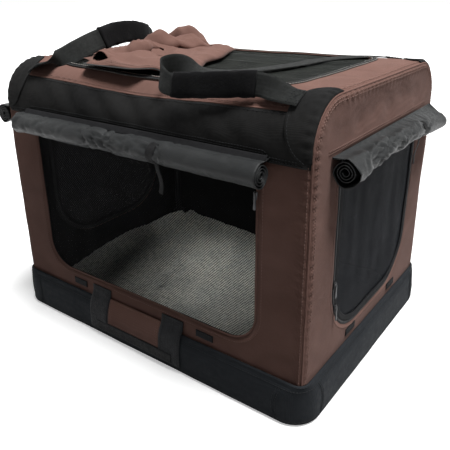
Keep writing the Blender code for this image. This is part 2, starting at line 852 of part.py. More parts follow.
def squircle(a, b):
    """Maps a square's point to the mat's rounded rectangle."""
    x = a * MAT_HALF_X
    y = b * MAT_HALF_Y
    reach_x = abs(x) - (MAT_HALF_X - MAT_CORNER)
    reach_y = abs(y) - (MAT_HALF_Y - MAT_CORNER)
    if reach_x > 0 and reach_y > 0:
        length = math.hypot(reach_x, reach_y)
        scale = max(reach_x, reach_y) / length
        x = math.copysign(MAT_HALF_X - MAT_CORNER + reach_x * scale, x)
        y = math.copysign(MAT_HALF_Y - MAT_CORNER + reach_y * scale, y)
    return x, y


def build_cover():
    """Five panels, two black bands and four corner patches."""
    rows = [WALL_ROW * share for share in (0.5, 1.0, 1.5)]
    front_low = [PANEL_FOOT] + rows + [UPPER_BAND_FOOT - SEAM_GAP]
    front = long_sheet("front_panel", front_low, brown_cloth())
    back_low = [S_END - s for s in reversed(front_low)]
    long_sheet("back_panel", back_low, brown_cloth())
    band = [UPPER_BAND_FOOT + SEAM_GAP, S_FRONT_ARC]
    band += spread(S_FRONT_ARC, S_FRONT_SEAM - SEAM_GAP, 5)[1:]
    long_sheet("front_upper_band", band, black_cloth())
    long_sheet("back_upper_band", [S_END - s for s in reversed(band)], black_cloth())
    roof_run = spread(S_FRONT_SEAM + SEAM_GAP, S_ROOF, 5) + spread(S_ROOF, S_BACK_ARC, 5)[1:]
    roof_run += spread(S_BACK_ARC, S_BACK_SEAM - SEAM_GAP, 5)[1:]
    roof = long_sheet("roof_panel", roof_run, brown_cloth())
    cut_window(front, "front", FRONT_WINDOW_HALF, FRONT_WINDOW_FOOT)
    for side, sign in (("left", -1), ("right", 1)):
        panel = end_sheet(side + "_end_panel", sign, brown_cloth())
        cut_window(panel, side, END_WINDOW_HALF, END_WINDOW_FOOT)
        for end, middle in (("front", S_FRONT_SEAM), ("back", S_BACK_SEAM)):
            build_patch(end + "_" + side + "_corner_patch", sign, middle)
    outline = rounded_outline(
        ROOF_WINDOW_HALF_X, -ROOF_WINDOW_HALF_Y, ROOF_WINDOW_HALF_Y, ROOF_WINDOW_CORNER
    )
    cut_low = HEIGHT - ROOF_WINDOW_CUT
    cutter = plate_mesh("cutter", "roof", outline, cut_low, HEIGHT + ROOF_WINDOW_CUT)
    boolean(roof, add_cutter(cutter, "roof_window_cut"))


def cut_window(panel, plane, half, foot):
    """Cuts a rounded window through a wall."""
    depth = BODY_HALF_Y if plane == "front" else BODY_HALF_X
    outline = rounded_outline(half, foot, WINDOW_TOP, WINDOW_CORNER, top_radius=WINDOW_TOP_CORNER)
    cutter = plate_mesh("cutter", plane, outline, depth - WINDOW_CUT, depth + WINDOW_CUT)
    boolean(panel, add_cutter(cutter, plane + "_window_cut"))


def build_patch(name, sign, middle):
    """Fan-shaped patch sewn over a top corner, where a handle is anchored."""
    points = []
    stations = spread(-0.98, 0.98, 11)
    columns = 7
    for t in stations:
        s = middle + PATCH_HALF_RUN * t
        reach = seam_reach(s) - PATCH_SEAM_GAP
        width = PATCH_EDGE + PATCH_DEPTH * math.sqrt(1 - t * t)
        across = [reach - width * j / (columns - 1) for j in range(columns)]
        points += [shell_point(s, sign * v, PATCH_LIFT) for v in across]
    mesh = bpy.data.meshes.new(name)
    mesh.from_pydata([tuple(p) for p in points], [], grid_faces(len(stations), columns))
    turn_outward(mesh, Vector((0, 0, HEIGHT / 2)))
    made = add(mesh, name, black_cloth())
    solidify(made, PATCH_CLOTH)
    made.modifiers["cloth"].offset = 1.0


def build_door(plane, half, foot, roll_radius, roll_low, roll_high, roll_drop, tie_at):
    """One zipped mesh door with its rolled blind, its tie and the zip that holds it."""
    wall = BODY_HALF_Y if plane == "front" else BODY_HALF_X
    axis = on_plane(plane, 0.0, HINGE_Z, wall + HINGE_OUT)
    edge = FIT + ZIP_WIDTH / 2
    outline = rounded_outline(half - edge, foot + edge, WINDOW_TOP, WINDOW_CORNER - edge)
    path = [p for p in outline if p[1] <= foot + WINDOW_CORNER + ZIP_STOP]
    right = [p for p in path if p[0] > 0]
    left = [p for p in path if p[0] <= 0]
    stop = WINDOW_TOP - WINDOW_TOP_CORNER - ZIP_STOP
    run = [(-half + edge, stop)] + left + right + [(half - edge, stop)]
    face = wall - ZIP_SINK
    zip_mesh = strip_mesh(plane, plane, run, ZIP_WIDTH / 2, face - ZIP_THICKNESS, face)
    add(zip_mesh, plane + "_door_zip", material("zip_tape", (0.015, 0.015, 0.016), 0.7), False)
    inset = ZIP_WIDTH + FIT * 2
    door_top = WINDOW_TOP - MESH_TOP_GAP
    outline = rounded_outline(
        half - inset, foot + inset, door_top, WINDOW_CORNER - inset, top_radius=MESH_TOP_CORNER
    )
    face -= MESH_DEPTH
    door = plate_mesh(plane, plane, outline, face - MESH_THICKNESS, face)
    net = material("black_mesh", (0.03, 0.03, 0.03), 0.9)
    add(door, plane + "_mesh_door", net, False, axis)
    build_roll(plane, wall, roll_radius, roll_low, roll_high, roll_drop, tie_at, axis)


def roll_centre(plane, wall, radius, a, drop):
    """Middle of a rolled blind at a place along it: (distance out from the wall, height)."""
    high = HINGE_Z - ROLL_GAP - radius
    return wall + ROLL_OUT + radius, high - drop(a)


def build_roll(plane, wall, radius, low, high, drop, tie_at, axis):
    """Blind that hangs from its hem and is rolled up on itself, pinched where the tie holds it."""
    near_tie = [tie_at + reach for reach in (-TIE_SHOULDER, -TIE_REACH, TIE_REACH, TIE_SHOULDER)]
    far = [a for a in spread(low, high, 6) if abs(a - tie_at) > TIE_SHOULDER]
    stations = sorted(far + near_tie)
    steps = int(ROLL_TURNS * 12)
    rings = []
    for a in stations:
        away = max(abs(a - tie_at) - TIE_REACH, 0.0)
        pinch = 1.0 - (1.0 - TIE_PINCH) * math.exp(-(away / (2 * TIE_HALF_WIDTH)) ** 2)
        out, up = roll_centre(plane, wall, radius, a, drop)
        hem = HINGE_Z - ROLL_GAP / 2
        outer = [on_plane(plane, a, hem, wall + ROLL_GAP)]
        inner = [on_plane(plane, a, hem - ROLL_CLOTH, wall + ROLL_GAP)]
        for k in range(steps + 1):
            share = k / steps
            turn = math.pi / 2 + 2 * math.pi * ROLL_TURNS * share
            reach = (ROLL_CORE + (radius - ROLL_CORE) * (1 - share)) * pinch
            for ring, size in ((outer, reach), (inner, reach - ROLL_CLOTH * pinch)):
                depth = out - math.cos(turn) * size
                ring.append(on_plane(plane, a, up + math.sin(turn) * size, depth))
        rings.append(outer + list(reversed(inner)))
    add(loft_mesh(plane, rings), plane + "_rolled_blind", blind_cloth(), True, axis)
    out, up = roll_centre(plane, wall, radius, tie_at, drop)
    build_tie(plane, out, up, radius * TIE_PINCH + TIE_GAP, tie_at, axis)


def build_tie(plane, out, up, size, tie_at, axis):
    """Tape round a rolled blind, open where the blind comes in, with a loose tail below."""
    half = TIE_HALF_WIDTH
    high = size + TIE_THICKNESS
    section = [(size, -half), (high, -half), (high, half), (size, half)]
    rings = []
    for degrees in spread(TIE_START, TIE_END, 20):
        turn = math.radians(degrees)
        ring = []
        for reach, along in section:
            depth = out + math.cos(turn) * reach
            ring.append(on_plane(plane, tie_at + along, up + math.sin(turn) * reach, depth))
        rings.append(ring)
    tie = add(loft_mesh(plane, rings), plane + "_blind_tie", webbing(), False, axis)
    foot = up - size - TIE_TAIL
    corners = [(-1, foot), (1, foot), (1, up - size), (-1, up - size)]
    outline = [(tie_at + a * TIE_TAIL_HALF, b) for a, b in corners]
    depth = out + size * 0.1 - TIE_TAIL_BACK
    tail = plate_mesh("tail", plane, outline, depth, depth + TIE_THICKNESS)
    boolean(tie, add_cutter(tail, plane + "_tie_tail"), "UNION")


def build_sliders():
    """Zip sliders with pull tabs: one on the front door, two on each end door."""
    front_a = FRONT_WINDOW_HALF - FIT - ZIP_WIDTH / 2
    end_a = END_WINDOW_HALF - FIT - ZIP_WIDTH / 2
    build_slider("front_zip_slider", "front", front_a, FRONT_SLIDER_Z)
    for side in ("right", "left"):
        build_slider(side + "_upper_zip_slider", side, -end_a, UPPER_SLIDER_Z)
        build_slider(side + "_lower_zip_slider", side, -end_a, LOWER_SLIDER_Z)


def build_slider(name, plane, a, b):
    """Cast slider that stands just outside the zip, with a hanging tab."""
    wall = BODY_HALF_Y if plane == "front" else BODY_HALF_X
    low = wall + FIT
    height = SLIDER_HALF_HEIGHT
    outline = rounded_outline(SLIDER_HALF_WIDTH, b - height, b + height, SLIDER_CORNER, steps=3)
    outline = [(a + p[0], p[1]) for p in outline]
    metal = material("zip_metal", (0.62, 0.62, 0.62), 0.3, 0.9)
    origin = on_plane(plane, a, b, wall)
    made = add(plate_mesh(name, plane, outline, low, low + SLIDER_THICKNESS), name, metal, False, origin)
    pull = rounded_outline(PULL_HALF_WIDTH, b - PULL_LENGTH, b + PULL_LAP, PULL_CORNER, steps=3)
    pull = [(a + p[0], p[1]) for p in pull]
    pull_mesh = plate_mesh("pull", plane, pull, low + PULL_OUT, low + PULL_TOP)
    boolean(made, add_cutter(pull_mesh, name + "_tab"), "UNION")


def build_tabs():
    """Hook-and-loop tabs under the windows, for the blinds when they are down."""
    rows = [
        ("front_left_loop_tab", "front", 0.169 - BODY_HALF_X, FRONT_TAB_Z),
        ("front_right_loop_tab", "front", BODY_HALF_X - 0.190, FRONT_TAB_Z),
        ("right_front_loop_tab", "right", 0.168 - BODY_HALF_Y, END_TAB_Z),
        ("right_back_loop_tab", "right", BODY_HALF_Y - 0.140, END_TAB_Z),
        ("left_front_loop_tab", "left", 0.168 - BODY_HALF_Y, END_TAB_Z),
        ("left_back_loop_tab", "left", BODY_HALF_Y - 0.140, END_TAB_Z),
    ]
    for name, plane, a, b in rows:
        wall = BODY_HALF_Y if plane == "front" else BODY_HALF_X
        low_b = b - TAB_HALF_HEIGHT
        outline = rounded_outline(TAB_HALF_WIDTH, low_b, b + TAB_HALF_HEIGHT, TAB_CORNER, steps=2)
        outline = [(a + p[0], p[1]) for p in outline]
        mesh = plate_mesh(name, plane, outline, wall + FIT, wall + FIT + TAB_THICKNESS)
        add(mesh, name, black_cloth(), False)


def build_roof_fittings():
    """Mesh, zip and folded-back cover of the roof window."""
    top = HEIGHT - CLOTH - ROOF_MESH_DROP
    half_y = ROOF_WINDOW_HALF_Y - FIT
    outline = rounded_outline(ROOF_WINDOW_HALF_X + ROOF_MESH_LAP, -half_y, half_y, ROOF_WINDOW_CORNER)
    net = material("black_mesh", (0.03, 0.03, 0.03), 0.9)
    add(plate_mesh("roof_mesh", "roof", outline, top - MESH_THICKNESS, top), "roof_mesh", net, False)
    path = rounded_outline(
        ROOF_WINDOW_HALF_X + ROOF_ZIP_WIDTH, -ROOF_WINDOW_HALF_Y, ROOF_WINDOW_HALF_Y, ROOF_WINDOW_CORNER
    )
    low = HEIGHT + FIT
    half = ROOF_ZIP_WIDTH / 2
    zip_mesh = strip_mesh("roof_zip", "roof", path, half, low, low + ROOF_ZIP_THICKNESS, True)
    add(zip_mesh, "roof_zip", material("zip_tape", (0.015, 0.015, 0.016), 0.7), False)
    build_flap(top + FIT)


def flap_height(a, b):
    """Thickness of the folded flap at a place on it, from -1 to 1 each way."""
    edge = max(abs(a), abs(b))
    height = FLAP_THICKNESS * (1 - edge ** 6) ** 0.5 if edge < 1 else 0.0
    roll = FLAP_ROLL * math.exp(-((a + 0.62 - 0.18 * b) / 0.22) ** 2) * (0.55 + 0.45 * b)
    hump = FLAP_HUMP * math.exp(-((a + 0.25) / 0.3) ** 2 - ((b + 0.45) / 0.3) ** 2)
    crease = FLAP_CREASE * math.sin(9.0 * a + 5.0 * b) * math.cos(4.0 * a - 7.0 * b)
    return FLAP_EDGE + height + (roll + hump + crease) * (1 - edge ** 6)


def build_flap(low):
    """Brown roof cover, unzipped and folded back to the left in loose folds."""
    columns = 20
    rows = 18
    top = []
    base = []
    for j in range(rows):
        b = -1 + 2 * j / (rows - 1)
        left = FLAP_LEFT_X - 2 * FLAP_EDGE * math.sin(5.0 * b)
        right = FLAP_RIGHT_X - FLAP_SLANT * b
        for i in range(columns):
            a = -1 + 2 * i / (columns - 1)
            x = left + (right - left) * (a + 1) / 2
            y = b * FLAP_HALF_Y + 3 * FLAP_EDGE * math.sin(6.0 * a) * (1 - abs(b))
            top.append(Vector((x, y, low + flap_height(a, b))))
            base.append(Vector((x, y, low)))
    mesh = pad_mesh("roof_flap", top, base, rows, columns)
    add(mesh, "roof_flap", brown_cloth())


def build_handles():
    """Two webbing handles with padded grips, each anchored at the two patches of one end."""
    front = -BODY_HALF_Y
    back = BODY_HALF_Y
    end = BODY_HALF_X
    top = HEIGHT
    rising = [
        ((0.052 - end, front + 0.040, top + 0.0062), (1, 0, 0)),
        ((0.056 - end, front + 0.063, top + 0.0090), (0.9, -0.2, 0.3)),
        ((0.076 - end, front + 0.098, top + 0.0220), (0.3, -0.3, 0.9)),
        ((0.088 - end, front + 0.143, top + 0.0360), (0, 0, 1)),
        ((0.094 - end, front + 0.180, top + 0.0420), (0, 0, 1)),
    ]
    falling = [((x, -y, z), (a, -b, c)) for (x, y, z), (a, b, c) in reversed(rising)]
    left_keys = rising + [((0.097 - end, 0.0, top + 0.0440), (0, 0, 1))] + falling
    build_handle("left", left_keys, 4, 6, -HANDLE_AXIS_X)
    right_keys = [
        ((end - 0.052, front + 0.0305, top - 0.0075), (0, 0.80, 0.60)),
        ((end - 0.073, front + 0.018, top - 0.0020), (0, 0.30, 0.95)),
        ((end - 0.095, front + 0.005, top + 0.0030), (0, -0.10, 0.99)),
        ((end - 0.168, front + 0.001, top + 0.0040), (0, -0.12, 0.99)),
        ((end - 0.242, front + 0.005, top + 0.0040), (0, -0.10, 0.99)),
        ((end - 0.276, front + 0.015, top + 0.0150), (0, 0.20, 0.98)),
        ((end - 0.294, front + 0.040, top + 0.0270), (0, 0.10, 1.0)),
        ((end - 0.276, front + 0.062, top + 0.0260), (0.3, 0.5, 0.80)),
        ((end - 0.233, front + 0.088, top + 0.0100), (-0.45, 0.80, 0.15)),
        ((end - 0.188, front + 0.138, top + 0.0062), (-0.75, 0.65, 0)),
        ((end - 0.118, back - 0.228, top + 0.0062), (-0.85, 0.50, 0)),
        ((end - 0.072, back - 0.118, top + 0.0062), (-0.90, 0.40, 0)),
        ((end - 0.054, back - 0.040, top + 0.0062), (-1, 0, 0)),
    ]
    build_handle("right", right_keys, 2, 4, HANDLE_AXIS_X)


def build_handle(side, keys, first, last, axis_x):
    """Strap and grip of one handle, with origins on the line through its anchors."""
    steps = 4
    origin = (axis_x, 0.0, HANDLE_AXIS_Z)
    strap = web_mesh(side, keys, HANDLE_HALF_WIDTH, WEB_THICKNESS, steps)
    add(strap, side + "_handle_strap", webbing(), False, origin)
    frames = web_frames(keys, steps)[first * steps : last * steps + 1]
    padded = material("grip_pad", (0.012, 0.012, 0.013), 0.9)
    add(grip_mesh(side, frames), side + "_handle_grip", padded, True, origin)


def build_front_webbing():
    """Webbing on the front of the tray, with the brown patch between its two uprights."""
    tray = -TRAY_HALF_Y
    wall = -BODY_HALF_Y
    rise = [
        (tray - 0.0016, STRAP_RUN_LOW - 0.001),
        (tray - 0.0016, STRAP_RUN_HIGH + 0.001),
        (tray - 0.0001, TRAY_HEIGHT - 0.018),
        (wall - 0.0110, TRAY_HEIGHT - 0.002),
        (wall - 0.0035, TRAY_HEIGHT + 0.012),
        (wall - 0.0020, TRAY_HEIGHT + 0.026),
    ]
    keys = [((STRAP_LEFT_X, y, z), (1, 0, 0)) for y, z in rise]
    made = add(web_mesh("left", keys, STRAP_HALF_WIDTH), "front_base_webbing", webbing(), False)
    keys = [((STRAP_RIGHT_X, y, z), (1, 0, 0)) for y, z in rise]
    boolean(made, add_cutter(web_mesh("right", keys, STRAP_HALF_WIDTH), "webbing_upright"), "UNION")
    low = (STRAP_LEFT_X, tray - 0.0025, STRAP_RUN_LOW)
    high = (STRAP_RIGHT_X, tray - 0.0007, STRAP_RUN_HIGH)
    boolean(made, add_cutter(box_mesh("run", low, high), "webbing_run"), "UNION")
    middle = (STRAP_LEFT_X + STRAP_RIGHT_X) / 2
    half = (STRAP_RIGHT_X - STRAP_LEFT_X) / 2 - STRAP_HALF_WIDTH - FRONT_PATCH_GAP
    patch = [
        (tray - 0.0016, STRAP_RUN_HIGH + 0.0015),
        (tray - 0.0001, TRAY_HEIGHT - 0.020),
        (wall - 0.0105, TRAY_HEIGHT - 0.004),
        (wall - 0.0040, TRAY_HEIGHT + 0.009),
    ]
    keys = [((middle, y, z), (1, 0, 0)) for y, z in patch]
    mesh = web_mesh("patch", keys, half, FRONT_PATCH_THICKNESS)
    add(mesh, "front_base_patch", brown_cloth(), False)


def front_drop(a):
    """How far the front roll hangs below its hem at a place along it."""
    return FRONT_DROP + FRONT_DROP_MORE * (a / FRONT_DROP_SPAN) ** 2


def right_drop(a):
    """How far the right roll hangs below its hem: its far end sags past the tie."""
    share = (a - END_DROP_START) / (END_ROLL_HIGH - END_DROP_START)
    return END_DROP + END_DROP_MORE * smooth_step(share)


def left_drop(a):
    """The same for the left roll, which sits further forward."""
    return right_drop(a - LEFT_ROLL_SHIFT)


def build_doors():
    """The front door and the two end doors."""
    half = FRONT_WINDOW_HALF
    foot = FRONT_WINDOW_FOOT
    roll = (FRONT_ROLL_RADIUS, FRONT_ROLL_LOW, FRONT_ROLL_HIGH)
    build_door("front", half, foot, *roll, front_drop, FRONT_TIE)
    for plane, shift, drop in (("right", 0.0, right_drop), ("left", LEFT_ROLL_SHIFT, left_drop)):
        roll = (END_ROLL_RADIUS, END_ROLL_LOW + shift, END_ROLL_HIGH + shift)
        build_door(plane, END_WINDOW_HALF, END_WINDOW_FOOT, *roll, drop, END_TIE + shift)


def main():
    """Builds the whole crate."""
    start_scene()
    build_frame()
    build_base()
    build_cover()
    build_doors()
    build_sliders()
    build_tabs()
    build_roof_fittings()
    build_handles()
    build_front_webbing()


main()
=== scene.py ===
"""Soft dog crate: sewn cover, nets, rolled blinds, fleece, handles and zips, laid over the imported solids.

Metres, +Z up. The long front is at -Y, and the end panel that the camera sees is at +X.
"""

import json
import logging
import math
from dataclasses import dataclass
from enum import Enum
from functools import partial
from typing import Callable, Iterable, Iterator, Sequence

import bmesh
import bpy
from mathutils import Matrix, Vector, noise


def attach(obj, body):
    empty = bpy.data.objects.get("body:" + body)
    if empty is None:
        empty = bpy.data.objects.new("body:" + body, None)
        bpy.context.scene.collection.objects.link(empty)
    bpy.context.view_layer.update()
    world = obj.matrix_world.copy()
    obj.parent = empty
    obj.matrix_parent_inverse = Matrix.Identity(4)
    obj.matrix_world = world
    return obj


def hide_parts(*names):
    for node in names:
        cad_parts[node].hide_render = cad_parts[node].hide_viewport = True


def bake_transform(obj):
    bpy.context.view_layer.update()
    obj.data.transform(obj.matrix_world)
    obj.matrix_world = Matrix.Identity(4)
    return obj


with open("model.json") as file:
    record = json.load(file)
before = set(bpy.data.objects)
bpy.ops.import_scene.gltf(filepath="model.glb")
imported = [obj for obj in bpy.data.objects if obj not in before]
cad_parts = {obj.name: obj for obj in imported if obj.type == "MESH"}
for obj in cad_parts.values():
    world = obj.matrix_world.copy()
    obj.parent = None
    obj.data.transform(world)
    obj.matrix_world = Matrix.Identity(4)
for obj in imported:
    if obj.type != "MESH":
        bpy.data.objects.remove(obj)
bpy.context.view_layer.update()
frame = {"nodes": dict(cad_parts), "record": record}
log = logging.getLogger("soft_dog_crate")

Object = bpy.types.Object
Socket = bpy.types.NodeSocket
Colour = tuple[float, float, float]
Spot = tuple[float, float]
Run = list[tuple[Vector, Vector]]
Put = Callable[[Spot], Vector]
Sides = Sequence[Sequence[Spot]]
TAU = 2 * math.pi
UP = Vector((0, 0, 1))
FORWARD = Vector((0, -1, 0))


def smooth_step(value: float) -> float:
    """Runs from 0 to 1 with flat ends."""
    share = min(max(value, 0.0), 1.0)
    return share * share * (3 - 2 * share)


def spread(low: float, high: float, count: int) -> list[float]:
    """Evenly spaced values with both ends."""
    return [low + (high - low) * i / (count - 1) for i in range(count)]


def bell(distance: float, width: float) -> float:
    """Rounded hump that is 1 at distance 0 and dies out past the width."""
    return math.exp(-((distance / width) ** 2))


def between(start: Spot, end: Spot, share: float) -> Spot:
    """Point between two others."""
    return start[0] + (end[0] - start[0]) * share, start[1] + (end[1] - start[1]) * share


def length_of(path: Sequence[Spot]) -> float:
    """Length of a flat polyline."""
    return sum(math.dist(a, b) for a, b in zip(path, path[1:]))


def along(path: Sequence[Spot], share: float) -> Spot:
    """Point of a flat polyline, at a share of its length from 0 to 1."""
    left = share * length_of(path)
    for start, end in zip(path, path[1:]):
        length = math.dist(start, end)
        if left <= length:
            return between(start, end, left / length if length > 0 else 0.0)
        left -= length
    return path[-1]


def rounded_sides(half: float, low: float, high: float, radius: float, top: float) -> list[list[Spot]]:
    """Rounded rectangle, split into its four sides at the middle of each corner.

    Args:
        half: half of its width.
        low: its lower edge.
        high: its upper edge.
        radius: radius of the two lower corners.
        top: radius of the two upper corners.

    Returns:
        The lower, right, upper and left side, each a polyline, counter-clockwise.
    """
    arcs = []
    for x, y, r, start in (
        (-half + radius, low + radius, radius, 180.0),
        (half - radius, low + radius, radius, 270.0),
        (half - top, high - top, top, 0.0),
        (-half + top, high - top, top, 90.0),
    ):
        turns = [math.radians(start + 90.0 * i / 16) for i in range(17)]
        arcs.append([(x + r * math.cos(t), y + r * math.sin(t)) for t in turns])
    return [arcs[i][8:] + arcs[(i + 1) % 4][:9] for i in range(4)]


def round_path(sides: Sequence[Sequence[Spot]], step: float) -> list[Spot]:
    """Closed polyline round four sides, with points about a step apart."""
    path = [spot for side in sides for spot in side[:-1]]
    path.append(path[0])
    count = max(int(length_of(path) / step), 8)
    return [along(path, i / count) for i in range(count)]


def resample(run: Run, step: float) -> Run:
    """The same run with points an even step apart."""
    lengths = [(b[0] - a[0]).length for a, b in zip(run, run[1:])]
    total = sum(lengths)
    count = max(int(total / step), 2)
    out: Run = []
    i, passed = 0, 0.0
    for k in range(count + 1):
        goal = total * k / count
        while i < len(lengths) - 1 and passed + lengths[i] < goal:
            passed += lengths[i]
            i += 1
        part = min(max((goal - passed) / max(lengths[i], 1e-9), 0.0), 1.0)
        (point, normal), (ahead, turned) = run[i], run[i + 1]
        out.append((point.lerp(ahead, part), normal.lerp(turned, part).normalized()))
    return out


def shifted(run: Run, lift: float, aside: float = 0.0) -> Run:
    """The same run, moved along its normals and sideways along an upright wall."""
    return [(point + normal * lift + UP.cross(normal) * aside, normal) for point, normal in run]


class Layout:
    """Points, faces and cloth coordinates of one piece while it is laid out."""

    def __init__(self) -> None:
        """Starts with nothing laid out."""
        self.points: list[Vector] = []
        self.cloth: list[Spot] = []
        self.faces: list[tuple[int, ...]] = []

    def row(self, points: Iterable[Vector], cloth: Iterable[Spot] = ()) -> list[int]:
        """Adds a row of points.

        Args:
            points: the row's points.
            cloth: where each lies on the flat cloth, across and along, in metres.

        Returns:
            Their indexes.
        """
        start = len(self.points)
        self.points.extend(Vector(p) for p in points)
        self.cloth.extend(cloth)
        return list(range(start, len(self.points)))

    def fill(self, rows: Sequence[Sequence[int]], closed: bool = False, ends: bool = False) -> None:
        """Adds the quads between neighbouring rows, and flat ends where they are asked for."""
        for first, second in zip(rows, rows[1:]):
            count = len(first)
            for i in range(count if closed else count - 1):
                j = (i + 1) % count
                self.faces.append((first[i], first[j], second[j], second[i]))
        if ends:
            self.faces += [tuple(rows[0]), tuple(reversed(rows[-1]))]

    def piece(self, name: str, finish: "Finish", centre: Vector | None = None) -> Object:
        """Makes the object.

        Args:
            name: the object's name.
            finish: its finish.
            centre: for an open sheet, a point on its inner side; without it, the form is closed.

        Returns:
            The object, linked to the scene.
        """
        mesh = bpy.data.meshes.new(name)
        mesh.from_pydata([tuple(p) for p in self.points], [], self.faces)
        if len(self.cloth) == len(self.points):
            layer = mesh.uv_layers.new(name="cloth")
            for loop in mesh.loops:
                layer.data[loop.index].uv = self.cloth[loop.vertex_index]
        work = bmesh.new()
        work.from_mesh(mesh)
        bmesh.ops.recalc_face_normals(work, faces=work.faces)
        if centre is not None:
            facing = sum((f.calc_center_median() - centre).dot(f.normal) * f.calc_area() for f in work.faces)
            if facing < 0:
                bmesh.ops.reverse_faces(work, faces=work.faces)
        for face in work.faces:
            face.smooth = True
        work.to_mesh(mesh)
        work.free()
        mesh.materials.append(finish.made())
        made = bpy.data.objects.new(name, mesh)
        bpy.context.scene.collection.objects.link(made)
        return made


def loft(
    name: str, finish: "Finish", rings: Sequence[Sequence[Vector]], cloths: Sequence[Sequence[Spot]] = (),
    closed: bool = False,
) -> Object:
    """Solid through rings of points, with flat ends unless it closes on itself.

    Args:
        name: the piece's name.
        finish: its finish.
        rings: the points of each ring.
        cloths: where each ring's points lie on the flat cloth.
        closed: whether the last ring joins the first one.

    Returns:
        The solid.
    """
    layout = Layout()
    rows = [layout.row(ring) for ring in rings]
    layout.cloth = [spot for cloth in cloths for spot in cloth]
    layout.fill(rows + rows[:1] if closed else rows, closed=True, ends=not closed)
    return layout.piece(name, finish)


def thicken(piece: Object, thickness: float, lining: "Finish | None" = None) -> Object:
    """Gives a sheet its thickness on the inner side, with a lining of its own where one is named."""
    layer = piece.modifiers.new("cloth", "SOLIDIFY")
    layer.thickness = thickness
    layer.offset = -1.0
    layer.use_even_offset = False
    if lining is not None:
        piece.data.materials.append(lining.made())
        layer.material_offset = 1
    return piece


def place(piece: Object, body: str, slot: str, *nodes: str) -> Object:
    """Sets a piece on its body and hides the solids that it stands for."""
    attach(piece, body)
    if nodes:
        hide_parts(*nodes)
    return piece


class Bench:
    """Lays out the nodes of one material, or of the world."""

    def __init__(self, owner: bpy.types.Material | bpy.types.World, surface: str) -> None:
        """Starts from the node that gives the surface."""
        owner.use_nodes = True
        self.tree = owner.node_tree
        self.shader = self.tree.nodes[surface]

    def add(self, kind: str, **options: str) -> bpy.types.Node:
        """Adds a node and sets its options."""
        node = self.tree.nodes.new("ShaderNode" + kind)
        for name, value in options.items():
            setattr(node, name, value)
        return node

    def plug(self, sockets: Iterable[Socket], *values: object) -> None:
        """Sets or joins as many inputs as there are values."""
        for socket, value in zip(sockets, values):
            if isinstance(value, Socket):
                self.tree.links.new(value, socket)
            elif isinstance(value, tuple) and len(value) < len(socket.default_value):
                socket.default_value = (*value, 1.0)
            else:
                socket.default_value = value

    def set(self, **values: float | Colour | Socket) -> None:
        """Sets or joins the shader's own sockets; an underscore stands for a space."""
        for name, value in values.items():
            self.plug([self.shader.inputs[name.replace("_", " ")]], value)

    def vector(self, operation: str, *values: object) -> bpy.types.NodeOutputs:
        """Outputs of one calculation with vectors."""
        node = self.add("VectorMath", operation=operation)
        self.plug(node.inputs, *values)
        return node.outputs

    def math(self, operation: str, *values: object) -> Socket:
        """Result of one calculation with numbers or outputs."""
        node = self.add("Math", operation=operation)
        self.plug(node.inputs, *values)
        return node.outputs[0]

    def where(self, stretch: Colour = (1.0, 1.0, 1.0)) -> Socket:
        """Place on the object in metres, stretched by a factor along each axis."""
        return self.vector("MULTIPLY", self.add("TexCoord").outputs["Object"], stretch)[0]

    def split(self, source: Socket) -> bpy.types.NodeOutputs:
        """The three parts of a place."""
        node = self.add("SeparateXYZ")
        self.plug(node.inputs, source)
        return node.outputs

    def cloth(self) -> tuple[Socket, Socket]:
        """Place on the flat cloth, across and along, in metres."""
        across, length, _ = self.split(self.add("UVMap", uv_map="cloth").outputs[0])
        return across, length

    def ramp(self, value: object, low: float, high: float, start: float = 0.0, end: float = 1.0) -> Socket:
        """Maps a value from one range to another and holds it there."""
        node = self.add("MapRange")
        self.plug(node.inputs, value, low, high, start, end)
        return node.outputs[0]

    def cloud(self, scale: float, detail: float = 3.0, stretch: Colour = (1.0, 1.0, 1.0)) -> Socket:
        """Soft noise from about 0 to 1, with that many lumps to a metre."""
        node = self.add("TexNoise")
        sockets = [node.inputs[name] for name in ("Scale", "Detail", "Vector")]
        self.plug(sockets, scale, detail, self.where(stretch))
        return node.outputs["Fac"]

    def threads(self, pitch: float) -> Socket:
        """Crossed threads on every side of the object, from -1 to 1."""
        count = TAU / pitch
        waves = self.vector("SINE", self.where((count, count, count)))[0]
        return self.vector("DOT_PRODUCT", waves, (0.5, 0.5, 0.5))["Value"]

    def blend(self, share: object, first: object, second: object) -> Socket:
        """Colour between two others."""
        node = self.add("Mix", data_type="RGBA")
        self.plug((node.inputs[0], node.inputs[6], node.inputs[7]), share, first, second)
        return node.outputs[2]

    def bump(self, height: Socket, strength: float) -> None:
        """Relief from a height in metres."""
        node = self.add("Bump")
        sockets = [node.inputs[name] for name in ("Strength", "Distance", "Height")]
        self.plug(sockets, strength, 1.0, height)
        self.set(Normal=node.outputs[0])

    def seen(self) -> Socket:
        """1 for rays from the camera, in gloss and through glass, and 0 for all others."""
        rays = self.add("LightPath").outputs
        direct = self.math("MAXIMUM", rays["Is Camera Ray"], rays["Is Glossy Ray"])
        return self.math("MAXIMUM", direct, rays["Is Transmission Ray"])


@dataclass(frozen=True)
class Finish:
    """What every finish has: a name, a colour and a second colour: wear on most finishes, painted sheen on
    the black cloth and painted shade on the fleece.
    """

    name: str
    colour: Colour
    second: Colour

    def made(self) -> bpy.types.Material:
        """The finish's material, made once."""
        known = bpy.data.materials.get(self.name)
        if known is None:
            known = bpy.data.materials.new(self.name)
            self.build(Bench(known, "Principled BSDF"))
        return known

    def build(self, bench: Bench) -> None:
        """Lays out the nodes; each kind of finish has its own."""
        raise NotImplementedError

    # Random patches of the second colour: wear on most finishes, painted sheen on the black cloth, painted
    # shade on the fleece.
    def patchy(self, bench: Bench, scale: float, detail: float, low: float, high: float, most: float) -> Socket:
        """The finish's colour with patches of the second one, at most that much of it."""
        patches = bench.ramp(bench.cloud(scale, detail), low, high, 0.0, most)
        return bench.blend(patches, self.colour, self.second)


def darker(colour: Colour, share: float) -> Colour:
    """That share of a colour's light."""
    return tuple(share * part for part in colour)


